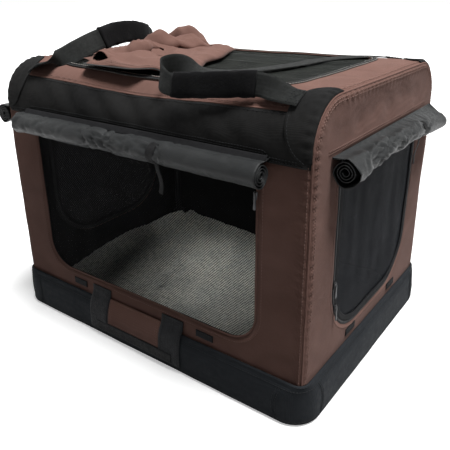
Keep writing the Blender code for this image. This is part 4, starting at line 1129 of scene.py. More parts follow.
    def seams(self) -> list[Object]:
        """Felled seams between the panels, and the lines of stitches beside them."""
        made = []
        brown = Seamstress("cover_stitches", "crate", "brown_cloth", THREAD_BROWN)
        black = Seamstress("band_stitches", "crate", "black_cloth", THREAD_BLACK)
        stops = spread(self.foot, SHAPE.s_end - self.foot, 330)
        low = [s for s in stops if s < self.band_foot or s > SHAPE.s_end - self.band_foot]
        roof = [s for s in stops if S_FRONT_SEAM + 0.01 < s < S_BACK_SEAM - 0.01]
        for side, sign in (("left", -1.0), ("right", 1.0)):
            run = cover_run(((s, sign * SHAPE.reach) for s in stops), -0.0006)
            made.append(place(cord_ridge(side + "_end_seam", BROWN, run, 0.0019), "crate", "brown_cloth"))
            for inset in (0.0055, 0.0095):
                brown.sew(cover_run((s, sign * (SHAPE.reach + inset)) for s in stops))
            for part in (low[: len(low) // 2], low[len(low) // 2 :], roof):
                brown.sew(cover_run((s, sign * (SHAPE.reach - 0.0055)) for s in part))
        across, even = (spread(-0.315, 0.315, count) for count in (180, 240))
        for name, s, inset in (("front", S_FRONT_SEAM, 0.006), ("back", S_BACK_SEAM, -0.006)):
            run = cover_run(((s, v) for v in across), -0.0008)
            made.append(place(cord_ridge(name + "_roof_seam", BROWN, run, 0.0017), "crate", "brown_cloth"))
            brown.sew(cover_run((s + inset, v) for v in across))
            black.sew(cover_run((s - inset, v) for v in across))
        for inset in (0.004, 0.008):
            black.sew(cover_run((self.hem(v) + inset, v) for v in even))
            black.sew(cover_run((SHAPE.s_end - self.band_foot - inset, v) for v in across))
        for window in (FRONT_WINDOW, RIGHT_WINDOW, LEFT_WINDOW):
            brown.sew(wall_run(window.wall, window.zip_path(-0.0045), 0.0004))
            for up in () if window is FRONT_WINDOW else (0.4385, 0.4425):
                brown.sew(wall_run(window.wall, [(a, up) for a in spread(-0.205, 0.205, 60)], 0.0006))
        for end in ("front", "back"):
            for side in ("left", "right"):
                piece, edge = self.patch(end, side)
                made.append(piece)
                black.sew(edge)
                black.sew(edge[2:-2])
        return made + [brown.done(), black.done()]

    def build(self) -> list[Object]:
        """Builds the whole cover."""
        low, high, end = self.band_foot + self.gap, S_FRONT_SEAM - self.gap, SHAPE.s_end
        return [
            self.front_wall(),
            self.roof(),
            self.end(RIGHT_WINDOW),
            self.end(LEFT_WINDOW),
            self.sheet("front_band", self.hem, high, "front_upper_band"),
            self.sheet("back_band", lambda v: end - high, end - low, "back_upper_band"),
            self.sheet("back_wall", lambda v: end - low + self.gap * 2, end - self.foot, "back_panel"),
        ] + self.seams()


@dataclass
class MeshDoor:
    """Net door in its binding, and its zip round three sides."""

    window: WindowShape
    knit: Finish
    trim: Finish
    binding: float = 0.0056
    net_wave: float = 0.003

    @property
    def name(self) -> str:
        """The wall's name, which starts the names of the door's pieces."""
        return self.window.wall.value

    @property
    def bound(self) -> bool:
        """Whether its binding is a wide stitched tape, and not just a piped edge."""
        return self.binding > 0.004

    def on_net(self, spot: Spot) -> Vector:
        """Place of a point of the net, with soft upright folds that die out at its binding."""
        (a, b), window = spot, self.window
        seed = {"front": 0.0, "right": 5.3, "left": 9.1}[self.name]
        inset = window.zip_width + self.binding * 0.5
        edge = min(window.half - inset - abs(a), b - window.foot - inset, window.top - 0.003 - b)
        fold = noise.noise(Vector((a * 11.0 + seed, b * 3.0, seed)))
        fold += 0.5 * noise.noise(Vector((a * 31.0, b * 5.0 + seed, 3.3)))
        return window.wall.on_cloth(a, b, self.net_wave * fold * smooth_step(edge / 0.09 * 2.2) - 0.0014)

    def net(self) -> Object:
        """The net itself, one layer of it."""
        layout, window = Layout(), self.window
        inset = window.zip_width + self.binding * 0.5
        middle = (window.foot + window.top) / 2
        inner = rounded_sides(window.half * 0.3, middle - 0.055, middle + 0.055, 0.02, 0.02)
        loop = ring_rows(layout, window.sides(inset, 0.003, 0.012), inner, 22, 0.006, self.on_net)
        close_middle(layout, loop, self.on_net)
        made = layout.piece(self.name + "_net", self.knit, CENTRE)
        place(made, self.name + "_door", "black_mesh", self.name + "_mesh_door")
        return made

    def edging(self) -> list[Object]:
        """Binding round the net and, where it is wide, its two lines of stitches."""
        window, body = self.window, self.name + "_door"
        middle = window.zip_width - 0.0022 + self.binding
        run = wall_run(window.wall, round_path(window.sides(middle, 0.0072, 0.012), 0.006), -0.0004)
        tape = ribbon(self.name + "_binding", self.trim, run, self.binding, 0.0013, closed=True)
        place(tape, body, "brown_cloth" if self.trim is BROWN else "black_cloth")
        if not self.bound:
            return [tape]
        thread = Seamstress(self.name + "_binding_stitches", body, "black_cloth", THREAD_BLACK)
        for share in (-0.25, 0.62):
            line = round_path(window.sides(middle + share * self.binding, 0.009, 0.012), 0.006)
            thread.sew(wall_run(window.wall, line + line[:1], 0.001), 0.0046, 0.0031, 0.0004)
        return [tape, thread.done()]

    def zip(self) -> list[Object]:
        """Zip tape and its coil of teeth."""
        half = self.window.zip_width / 2
        path = self.window.zip_path(0.0003 + half)
        run = resample(wall_run(self.window.wall, path, -0.0012 if self.bound else -0.0034), 0.006)
        tape = ribbon(self.name + "_zip", ZIP_TAPE, run, half - 0.0002, 0.001)
        place(tape, "crate", "zip_tape", self.name + "_door_zip")
        return [tape, place(zip_coil(self.name + "_zip_coil", run, 0.001), "crate", "zip_tape")]

    def build(self) -> list[Object]:
        """Builds the door and its zip."""
        return self.zip() + [self.net()] + self.edging()


def zip_coil(name: str, run: Run, lift: float, pitch: float = 0.0019, half: float = 0.0021) -> Object:
    """Teeth of a coil zip along a run: small rounded bars from both sides, in turn.

    Args:
        name: the piece's name.
        run: the zip's middle line, with the tape's normals.
        lift: how high the teeth start above that line.
        pitch: distance between neighbouring teeth of one side.
        half: how far a tooth reaches to each side.

    Returns:
        The teeth, as one piece.
    """
    layout = Layout()
    marks = resample(run, pitch / 2)
    for i, ((start, normal), (goal, _)) in enumerate(zip(marks, marks[1:])):
        way = (goal - start).normalized()
        side = way.cross(normal).normalized() * (1 if i % 2 else -1)
        thick = way * pitch * 0.23
        rings = []
        for reach, high in ((-0.25, 0.0002), (-0.05, 0.0011), (0.75, 0.0012), (1.0, 0.0003)):
            up = normal * high * 0.5
            middle = start + side * half * reach + normal * lift + up
            ring = (middle + thick + up, middle - thick + up, middle - thick - up, middle + thick - up)
            rings.append(layout.row(ring))
        layout.fill(rings, closed=True, ends=True)
    return layout.piece(name, COIL)


@dataclass
class RolledBlind:
    """Blind rolled up on itself under its hem, crumpled where a tie pinches it."""

    wall: Wall
    radius: float
    low: float
    high: float
    tie_at: float
    hang: Callable[[float], float]
    pinches: Sequence[tuple[float, float, float]] = ()
    flare: float = 0.0
    hinge: float = 0.4335
    core: float = 0.0034
    turns: float = 3.75
    cloth: float = 0.0011
    crumple: float = 0.0046
    taper: float = 0.0
    seed: float = 0.0

    @property
    def name(self) -> str:
        """The wall's name, which starts the names of its pieces."""
        return self.wall.value

    def middle(self, a: float) -> Spot:
        """Middle of the roll at a place along it: distance out and height."""
        return self.wall.depth + 0.003 + self.radius, self.hinge - 0.0008 - self.radius - self.hang(a)

    def slim(self, a: float) -> float:
        """How much thinner the roll is at a place than at its loose end."""
        return self.taper * smooth_step((a - self.low) / (self.high - self.low))

    def squeeze(self, a: float, turn: float, share: float) -> float:
        """Factor on the roll's radius at a place on it: pinch, lumps and creases."""
        way = Vector((a * 13.0 + self.seed, math.cos(turn) * 0.9, math.sin(turn) * 0.9))
        pinch, slack = self.slim(a), 0.24
        for place_at, depth, width in ((self.tie_at, 0.15, 0.012), *self.pinches):
            away = abs(a - place_at)
            pinch += depth * bell(away, width * 1.3)
            slack += 7.0 * depth * bell(max(away - 0.4 * width, 0.0), width * 2.4)
        phase = 2.0 * turn + a * 70.0 + 4.0 * noise.noise(way * 1.9)
        crease = (abs(math.sin(phase)) ** 0.7 - 0.7) * min(slack, 1.9)
        outer = max(1.0 - 1.7 * share, 0.0)
        loose = self.flare * bell(a - self.low, 0.075) * max(1.0 - 3.6 * share, 0.0)
        loose *= 0.56 - 0.44 * math.sin(turn)
        spot = Vector((a * 34.0, 1.6 * math.cos(turn), 1.6 * math.sin(turn) + self.seed))
        loose *= 1.0 + 0.9 * noise.noise(spot)
        return 1.0 - pinch + loose + outer * (0.05 * noise.noise(way) + self.crumple / self.radius * crease)

    def roll(self) -> Object:
        """The cloth of the roll, from its hem to its core."""
        stations = spread(self.low, self.high, int((self.high - self.low) / 0.0036))
        steps = int(self.turns * 34)
        rings = []
        for i, a in enumerate(stations):
            out, up = self.middle(a)
            ragged = 0.0022 * noise.noise(Vector((a * 3.0, self.seed, 1.0)))
            flare = 1.0 + 0.05 * bell(min(i, len(stations) - 1 - i) * 0.0036, 0.012)
            faces: list[list[Vector]] = []
            for gap in (0.0, self.cloth):
                face = []
                for over, drop in ((0.0008, 0.0006), (0.0012, 0.003)):
                    high, depth = self.hinge - drop - gap * 0.4, self.wall.depth + over + gap * 0.5
                    face.append(self.wall.at(a, high, depth))
                faces.append(face)
            for share in spread(0.0, 1.0, steps + 1):
                turn = math.pi / 2 + TAU * self.turns * share
                size = (self.core + (self.radius - self.core) * (1 - share)) * flare
                size = size * self.squeeze(a, turn, share) + ragged * share
                oval = 1.0 + 0.05 * math.cos(2 * turn)
                for face, reach in zip(faces, (size, size - self.cloth)):
                    depth = max(out - math.cos(turn) * reach * oval, self.wall.depth + 0.0012)
                    face.append(self.wall.at(a, up + math.sin(turn) * reach / oval, depth))
            rings.append(faces[0] + faces[1][::-1])
        made = loft(self.name + "_blind_roll", BLIND, rings)
        place(made, self.name + "_door", "blind_cloth", self.name + "_rolled_blind")
        return made

    def tie(self) -> list[Object]:
        """Tape round the roll, its bow of slack and its hanging end."""
        out, up = self.middle(self.tie_at)
        size = self.radius * (0.8 - self.slim(self.tie_at)) + 0.0014
        run: Run = []
        for turn in spread(math.radians(84.0), math.radians(-232.0), 46):
            sine, cosine = math.sin(turn), math.cos(turn)
            reach = size * (1.0 + 0.03 * math.sin(3 * turn))
            point = self.wall.at(self.tie_at + 0.0016 * sine, up + sine * reach, out + cosine * reach)
            run.append((point, self.wall.at(0.0, sine, cosine)))
        band = ribbon(self.name + "_blind_tape", TIE_TAPE, run, 0.0088, 0.0012)
        place(band, self.name + "_door", "webbing", self.name + "_blind_tie")
        tail: Run = []
        for share in spread(0.0, 1.0, 24):
            sway = 0.0045 * math.sin(2.4 * share + 0.4) + 0.002 * share
            height = up - size + 0.002 - 0.054 * share
            depth = out + size * 0.15 - 0.006 * share + 0.0015 * math.sin(7 * share)
            tail.append((self.wall.at(self.tie_at + sway, height, depth), self.wall.outward()))
        end = ribbon(self.name + "_tie_tail", TIE_TAPE, tail, 0.0042, 0.0009)
        return [band, place(end, self.name + "_door", "webbing")]

    def seam_tape(self) -> Object:
        """Black tape that joins the roll to the seam above the door."""
        run: Run = []
        for a in spread(self.low + 0.002, self.high - 0.002, 90):
            out, up = self.middle(a)
            high = self.hinge - 0.0002 + (up + self.radius - self.hinge + 0.0022) * 0.3
            point = self.wall.at(a, high, self.wall.depth + 0.001 + (out - self.wall.depth) * 0.36)
            run.append((point, self.wall.at(0.0, 0.8, 0.6)))
        tape = ribbon(self.name + "_roll_tape", BINDING, run, 0.007, 0.0006)
        near, far = (tuple(self.wall.at(0.0, self.hinge, self.wall.depth + out)) for out in (0.003, 0.013))
        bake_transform(tape)
        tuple(near)
        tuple(far)
        return tape

    def build(self) -> list[Object]:
        """Builds the roll and its tie; the front one has a tape of its own."""
        ties = self.tie()
        tapes = [self.seam_tape()] if self.wall is Wall.FRONT else []
        return [self.roll()] + tapes + ties


def catmull(a: Vector, b: Vector, c: Vector, d: Vector, t: float) -> Vector:
    """Point of a Catmull-Rom run between b and c."""
    cubic = (3 * b - a - 3 * c + d) * t**3
    square = (2 * a - 5 * b + 4 * c - d) * t**2
    return (2 * b + (c - a) * t + square + cubic) / 2


def web_frames(keys: Sequence[tuple], steps: int) -> list[tuple[Vector, Vector, Vector]]:
    """Middle, width direction and normal along a strap.

    Args:
        keys: points of the strap, each with the direction of its width.
        steps: points that each stretch between two keys gets.

    Returns:
        One frame for each point.
    """
    run = []
    for i in range(len(keys) - 1):
        around = [keys[max(i - 1, 0)], keys[i], keys[i + 1], keys[min(i + 2, len(keys) - 1)]]
        for k in range(steps):
            run.append([catmull(*[Vector(key[part]) for key in around], k / steps) for part in (0, 1)])
    run.append([Vector(keys[-1][0]), Vector(keys[-1][1])])
    frames = []
    for i, (point, width) in enumerate(run):
        tangent = (run[min(i + 1, len(run) - 1)][0] - run[max(i - 1, 0)][0]).normalized()
        across = (width - tangent * width.dot(tangent)).normalized()
        frames.append((point, across, tangent.cross(across)))
    return frames


def edge_run(frames: Sequence[tuple], aside: float, lift: float, out: Vector = FORWARD) -> Run:
    """Line on a strap or patch, that far beside its middle and off it."""
    return [(point + across * aside + out * lift, out) for point, across, _ in frames]


def strap(name: str, finish: Finish, frames: Sequence[tuple], half_width: float, thickness: float) -> Object:
    """Woven strap along frames, with a slightly cupped section and soft edges."""
    steps = [(side, step) for side in (1.0, -1.0) for step in spread(-side, side, 9)]
    rings, cloths, passed = [], [], 0.0
    for i, (point, across, normal) in enumerate(frames):
        passed += (point - frames[max(i - 1, 0)][0]).length
        cup = 0.0008 * noise.noise(Vector((passed * 14.0, half_width * 40.0, 0.5)))
        ring = []
        for side, step in steps:
            high = side * thickness / 2 * (1.0 - 0.55 * abs(step) ** 8) + cup * (1 - step * step)
            ring.append(point + across * half_width * step + normal * high)
        rings.append(ring)
        cloths.append([(half_width * step, passed) for _, step in steps])
    return loft(name, finish, rings, cloths)


@dataclass
class CarryHandle:
    """Webbing handle with a padded grip, sewn to the two corner patches of one end."""

    side: str
    keys: Sequence[tuple]
    grip_from: int
    grip_to: int
    sewn_at: Colour
    free_at: Colour
    half_width: float = 0.02
    thickness: float = 0.0024
    grip_half: float = 0.0225
    grip_thick: float = 0.006
    steps: int = 14

    def grip(self) -> Object:
        """Padded sleeve: crowned, pulled in at both bound ends and wrinkled where it bends."""
        start, stop = self.grip_from * self.steps, self.grip_to * self.steps + 1
        frames = web_frames(self.keys, self.steps)[start:stop]
        total = sum((b[0] - a[0]).length for a, b in zip(frames, frames[1:]))
        rings, passed = [], 0.0
        for i, (point, across, normal) in enumerate(frames):
            passed += (point - frames[max(i - 1, 0)][0]).length
            end = min(passed, total - passed)
            full = 0.8 + 0.2 * smooth_step(end / 0.014) - 0.06 * bell(end - 0.01, 0.0025)
            ring = []
            for turn in (TAU * k / 36 for k in range(36)):
                a = math.copysign(abs(math.cos(turn)) ** 0.5, math.cos(turn))
                b = math.copysign(abs(math.sin(turn)) ** 0.75, math.sin(turn))
                way = Vector((passed / total * 9.0, a * 1.6, b * 1.6 + (2.0 if self.side == "left" else 0.0)))
                puffed = 1.0 + 0.1 * noise.noise(way) + 0.05 * noise.noise(way * 3.1)
                wide = self.grip_half * (0.94 + 0.06 * full) * a * min(puffed, 1.04)
                ring.append(point + across * wide + normal * self.grip_thick * full * b * puffed)
            rings.append(ring)
        made = loft(self.side + "_grip", SLEEVE, rings)
        place(made, self.side + "_handle", "grip_padding", self.side + "_handle_grip")
        return made

    def stitches(self, frames: Sequence[tuple]) -> Object:
        """Box stitches on both sewn ends, with a cross in each box."""
        thread = Seamstress(self.side + "_handle_stitches", self.side + "_handle", "webbing", THREAD_BLACK)
        half = self.half_width
        for part in (frames[: self.steps + 1], frames[-self.steps - 1 :]):
            flip = -1.0 if part[0][2].z < 0 else 1.0
            span = [(p, a, n * flip) for p, a, n in part]
            lines = [[(p + a * half * step + n * 0.0013, n) for p, a, n in span] for step in (-0.78, 0.78)]
            for p, a, n in (span[1], span[-2]):
                lines.append([(p + a * half * step + n * 0.0013, n) for step in spread(-0.78, 0.78, 8)])
            (p0, a0, n0), (p1, a1, n1) = span[1], span[-2]
            for aside in (-0.74 * half, 0.74 * half):
                start, goal = p0 + a0 * aside + n0 * 0.0014, p1 - a1 * aside + n1 * 0.0014
                lines.append([(start.lerp(goal, t), n0.lerp(n1, t)) for t in spread(0, 1, 8)])
            for line in lines:
                thread.sew(line, 0.0046, 0.0032)
        return thread.loose()

    def build(self) -> list[Object]:
        """Builds the strap, its grip and its stitches."""
        frames = web_frames(self.keys, self.steps)
        web = strap(self.side + "_strap", STRAP, frames, self.half_width, self.thickness)
        stitches = self.stitches(frames)
        for piece in (web, stitches):
            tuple(self.sewn_at)
            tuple(self.free_at)
            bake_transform(piece)
        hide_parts(self.side + "_handle_strap")
        return [web, self.grip(), stitches]


@dataclass
class BaseTray:
    """Black fabric tray with a bound rim and sewn corners, its webbing and its brown patch."""

    half_x: float = 0.353
    half_y: float = 0.263
    height: float = 0.076
    cloth: float = 0.0026
    strap_half: float = 0.025
    strap_left: float = -0.106
    strap_right: float = 0.076

    def wall_spot(self, share: float, up: float) -> tuple[Vector, Vector]:
        """Point and outward normal of the tray's wall.

        Args:
            share: how far round the tray, from 0 to 1.
            up: how high up the wall, from 0 to 1.

        Returns:
            The point and the normal, with the wall's slackness in them.
        """
        keys = [(0.0, 0.347, 0.257, 0.042), (0.079, 0.352, 0.262, 0.046), (0.395, 0.353, 0.263, 0.048),
                (0.763, 0.351, 0.261, 0.044), (0.921, 0.3455, 0.2555, 0.027), (1.0, 0.3415, 0.2515, 0.015)]
        k = max(i for i in range(len(keys) - 1) if keys[i][0] <= up)
        part = (up - keys[k][0]) / (keys[k + 1][0] - keys[k][0])
        sizes = [keys[k][i] + (keys[k + 1][i] - keys[k][i]) * part for i in (1, 2, 3)]
        path = self.paths(tuple(round(size, 6) for size in sizes))
        x, y = along(path, share)
        near = along(path, (share + 0.002) % 1.0)
        way = Vector((near[0] - x, near[1] - y, 0.0)).normalized()
        normal = Vector((way.y, -way.x, 0.0))
        point = Vector((x, y, self.height * up))
        slack = math.sin(math.pi * min(max(up, 0.0), 1.0)) ** 0.7
        lift = 0.002 * noise.noise(point * 9.0) * slack + 0.0011 * noise.noise(point * 27.0) * slack
        return point + normal * lift, normal

    def paths(self, sizes: tuple[float, float, float]) -> list[Spot]:
        """Closed outline of those sizes, starting in the middle of the front right corner."""
        sides = rounded_sides(sizes[0], -sizes[1], sizes[1], sizes[2], sizes[2])
        path = [spot for side in sides[1:] + sides[:1] for spot in side[:-1]]
        return path + path[:1]

    def round_wall(self, up: float, lift: float) -> Run:
        """Closed run round the wall at a height, that far off it."""
        return shifted([self.wall_spot(i / 300 % 1.0, up) for i in range(301)], lift)

    def tray(self) -> Object:
        """Floor and wall of the tray."""
        layout = Layout()
        shares = [i / 460 for i in range(460)]
        foot = [self.wall_spot(share, 0.0)[0] for share in shares]
        rows = []
        for size in (0.02, 0.25, 0.5, 0.75, 0.9, 0.97):
            rows.append(layout.row(Vector((p.x * size, p.y * size, 0.0002)) for p in foot))
        for up in (0.0, 0.02, 0.05, 0.09, 0.15, 0.22, 0.3, 0.4, 0.5, 0.6, 0.7, 0.78, 0.86, 0.93, 1.0):
            rows.append(layout.row(self.wall_spot(share, up)[0] for share in shares))
        layout.fill(rows, closed=True)
        layout.faces.append(tuple(rows[0]))
        made = thicken(layout.piece("tray", TRAY_BLACK, Vector((0, 0, 0.04))), self.cloth, LINING)
        place(made, "crate", "black_cloth", "base_tray")
        return made

    def trims(self) -> list[Object]:
        """Bound rim, welt along the foot, and the corner seams with their stitches."""
        wall = self.round_wall(0.925, -0.0005)[:-1]
        rim = [(point, (normal + UP * 0.15).normalized()) for point, normal in wall]
        made = [
            ribbon("tray_binding", TRAY_BLACK, rim, 0.0058, 0.0007, closed=True),
            cord_ridge("tray_welt", TRAY_BLACK, self.round_wall(0.055, 0.0), 0.0017),
        ]
        thread = Seamstress("tray_stitches", "crate", "black_cloth", THREAD_BLACK)
        for up, lift in ((0.872, 0.0011), (0.975, 0.0011), (0.1, 0.0004)):
            thread.sew(self.round_wall(up, lift))
        total = 4 * (self.half_x + self.half_y)
        for k, corner in enumerate((0.0, 0.2137, 0.5, 0.7137)):
            for letter, sign in (("a", -1), ("b", 1)):
                line = []
                for up in spread(0.06, 0.86, 26):
                    away = 0.034 * (1 + 0.25 * (1 - up)) + 0.012 * math.sin(math.pi * up)
                    line.append(self.wall_spot((corner + sign * away / total) % 1.0, up))
                name = f"tray_corner_seam_{k}_{letter}"
                made.append(cord_ridge(name, TRAY_BLACK, shifted(line, -0.0005), 0.0013))
                for aside in (-0.0032, 0.0032):
                    thread.sew(shifted(line, 0.0005, aside))
        return [place(piece, "crate", "black_cloth") for piece in made] + [thread.done()]

    def straps(self) -> list[Object]:
        """Webbing on the front of the tray: two uprights and the run that joins them."""
        profile = [(-0.2646, 0.014), (-0.2646, 0.036), (-0.2631, 0.058)]
        profile += [(-0.259, 0.074), (-0.2515, 0.088), (-0.25, 0.102)]
        made = []
        thread = Seamstress("strap_stitches", "crate", "webbing", THREAD_BLACK)
        for name, x in (("left", self.strap_left), ("right", self.strap_right)):
            nodes = ["front_base_webbing"] if name == "left" else []
            frames = web_frames([((x, y, z), (1, 0, 0)) for y, z in profile], 10)
            piece = strap(name + "_upright", STRAP_WIDE, frames, self.strap_half, 0.0024)
            made.append(place(piece, "crate", "webbing", *nodes))
            half = self.strap_half * 0.84
            for aside in (-half, half):
                thread.sew(edge_run(frames[10:], aside, 0.0014), 0.0048, 0.0034)
            for z, y in ((0.099, -0.2518), (0.095, -0.2522)):
                run = [(Vector((x + a, y, z)), FORWARD) for a in spread(-half, half, 10)]
                thread.sew(run, 0.0048, 0.0034)
        low, high = self.strap_left - 0.006, self.strap_right + 0.006
        keys = [((x, -0.2654 - 0.0006 * math.sin(30 * x), 0.025), (0, 0, 1)) for x in spread(low, high, 8)]
        frames = web_frames(keys, 8)
        made.append(place(strap("strap_run", TIE_TAPE, frames, 0.01, 0.002), "crate", "webbing"))
        for aside in (-0.0075, 0.0075):
            thread.sew(edge_run(frames, aside, 0.0012))
        return made + [thread.done()]

    def patch(self) -> list[Object]:
        """Brown patch between the two uprights, with a turned and stitched edge."""
        profile = [(-0.2646, 0.0365), (-0.2631, 0.056), (-0.2585, 0.072), (-0.252, 0.085)]
        middle = (self.strap_left + self.strap_right) / 2
        half = (self.strap_right - self.strap_left) / 2 - self.strap_half - 0.0005
        frames = web_frames([((middle, y, z), (1, 0, 0)) for y, z in profile], 12)
        rings = []
        for i, (point, across, _) in enumerate(frames):
            end = min(i, len(frames) - 1 - i) / (len(frames) - 1)
            ring = []
            for side, steps in ((-0.001, spread(-1, 1, 31)), (0.0006, spread(1, -1, 31))):
                for step in steps:
                    rim = smooth_step(min(1 - abs(step), end * 2) / 0.1)
                    spot = point + across * half * step
                    soft = abs(0.0009 * noise.noise(spot * 30.0)) if side < 0 else 0.0
                    ring.append(spot + FORWARD * (soft - side * (0.55 + 0.45 * rim)))
            rings.append(ring)
        piece = place(loft("front_patch", BROWN, rings), "crate", "brown_cloth", "front_base_patch")
        thread = Seamstress("patch_stitches", "crate", "brown_cloth", THREAD_BROWN)
        for inset in (0.004, 0.0085):
            for aside in (inset - half, half - inset):
                thread.sew(edge_run(frames[2:-2], aside, 0.001))
        for point, across, _ in (frames[3], frames[-4]):
            steps = spread(-0.93, 0.93, 20)
            thread.sew([(point + across * half * step + FORWARD * 0.001, FORWARD) for step in steps])
        return [piece, thread.done()]

    def build(self) -> list[Object]:
        """Builds the tray and what is sewn on it."""
        return [self.tray()] + self.trims() + self.straps() + self.patch()


def puff(piece: Object, voxel: float, pressure: float, cap: float, frames: int = 20) -> None:
    """Swells a closed soft piece by simulation, then smooths it once.

    Args:
        piece: the closed mesh, a little smaller than it should end.
        voxel: size of the remesh, in metres.
        pressure: pressure inside the cloth.
        cap: how far a point may move, in metres.
        frames: frames to run.
    """
    remesh = piece.modifiers.new("even", "REMESH")
    remesh.mode = "VOXEL"
    remesh.voxel_size = voxel
    graph = bpy.context.evaluated_depsgraph_get()
    mesh = bpy.data.meshes.new_from_object(piece.evaluated_get(graph))
    piece.modifiers.clear()
    finish = piece.data.materials[0]
    piece.data = mesh
    mesh.materials.clear()
    mesh.materials.append(finish)
    rest = [v.co.copy() for v in mesh.vertices]
    cloth = piece.modifiers.new("swell", "CLOTH")
    cloth.settings.use_pressure = True
    cloth.settings.uniform_pressure_force = pressure
    cloth.settings.effector_weights.gravity = 0.0
    cloth.settings.tension_stiffness = 12.0
    cloth.settings.bending_stiffness = 0.6
    cloth.collision_settings.use_collision = False
    scene = bpy.context.scene
    for number in range(1, frames + 1):
        scene.frame_set(number)
    graph = bpy.context.evaluated_depsgraph_get()
    moved = piece.evaluated_get(graph).to_mesh()
    goals = [v.co.copy() for v in moved.vertices]
    piece.evaluated_get(graph).to_mesh_clear()
    piece.modifiers.clear()
    scene.frame_set(1)
    for vertex, start, goal in zip(mesh.vertices, rest, goals):
        way = goal - start
        vertex.co = start + way * min(1.0, cap / max(way.length, 1e-9))
    mesh.update()
    for face in mesh.polygons:
        face.use_smooth = True


@dataclass
class FleeceMat:
    """Fleece pad that fills the floor and climbs the back and left walls in a soft rim."""

    half_x: float = 0.316
    half_y: float = 0.2255
    corner: float = 0.055
    low: float = 0.0123
    height: float = 0.026
    back_rim: float = 0.018
    left_rim: float = 0.043
    corner_rim: float = 0.03

    def squircle(self, a: float, b: float) -> Spot:
        """Place on the floor of a point of the square from -1 to 1."""
        x, y = a * self.half_x, b * self.half_y
        reach_x = abs(x) - (self.half_x - self.corner)
        reach_y = abs(y) - (self.half_y - self.corner)
        if reach_x > 0 and reach_y > 0:
            scale = max(reach_x, reach_y) / math.hypot(reach_x, reach_y)
            x = math.copysign(self.half_x - self.corner + reach_x * scale, x)
            y = math.copysign(self.half_y - self.corner + reach_y * scale, y)
        return x, y

    def rise(self, a: float, b: float) -> float:
        """Height of the mat over its underside, with the rim's humps and the soft folds in front."""
        back = (self.back_rim + self.corner_rim * max(0.0, -a)) * smooth_step((b - 0.72) / 0.26)
        left = self.left_rim * smooth_step((-a - 0.72) / 0.26) * (0.55 + 0.45 * smooth_step((b + 0.9) / 0.7))
        rim = max(back, left)
        hump = 0.012 * bell(a + 0.97, 0.05) - 0.012 * bell(a + 0.885, 0.035) + 0.008 * bell(a + 0.8, 0.06)
        rim += hump * smooth_step((b - 0.7) / 0.25)
        fold = 0.0045 * bell(a + 0.45 + 0.25 * b, 0.035) * bell(b + 0.45, 0.45)
        fold += 0.0035 * bell(a - 0.15 - 0.5 * b, 0.05) * bell(b + 0.2, 0.5)
        fold -= 0.004 * bell(a + 0.1 - 0.3 * b, 0.06) * bell(b, 0.5)
        quilt = 0.0025 * math.sin(a * 13.0) * math.cos(b * 9.0)
        edge = min(max(abs(a), abs(b)), 1.0)
        return 0.004 + (self.height + rim + fold + quilt) * math.sqrt(max(1 - edge**14, 0.0))

    def build(self) -> list[Object]:
        """Builds the pad, swells it and raises its fleece."""
        layout = Layout()
        top, base = [], []
        for b in spread(-1.0, 1.0, 80):
            row = [(a, self.squircle(a, b)) for a in spread(-1.0, 1.0, 110)]
            top.append(layout.row(Vector((x, y, self.low + self.rise(a, b))) for a, (x, y) in row))
            base.append(layout.row(Vector((x, y, self.low)) for _, (x, y) in row))
        layout.fill(top)
        layout.fill([row[::-1] for row in base])
        for i in (0, -1):
            layout.fill([[row[i] for row in top], [row[i] for row in base]])
        for i in (0, -1):
            layout.fill([top[i], base[i]])
        made = layout.piece("fleece_pad", FLEECE)
        puff(made, 0.006, 2.5, 0.004)
        detail = made.modifiers.new("fine", "SUBSURF")
        detail.levels = detail.render_levels = 1
        graph = bpy.context.evaluated_depsgraph_get()
        mesh = bpy.data.meshes.new_from_object(made.evaluated_get(graph))
        made.modifiers.clear()
        made.data = mesh
        normals = [v.normal.copy() for v in mesh.vertices]
        for vertex, normal in zip(mesh.vertices, normals):
            if vertex.co.z > self.low + 0.004:
                knots = noise.noise(vertex.co * 150.0) + 0.6 * noise.noise(vertex.co * 310.0)
                vertex.co += normal * (0.0013 * knots + 0.0018 * noise.noise(vertex.co * 42.0))
            vertex.co.z = max(vertex.co.z, self.low)
        place(made, "crate", "fleece", "fleece_mat")
        return [made]


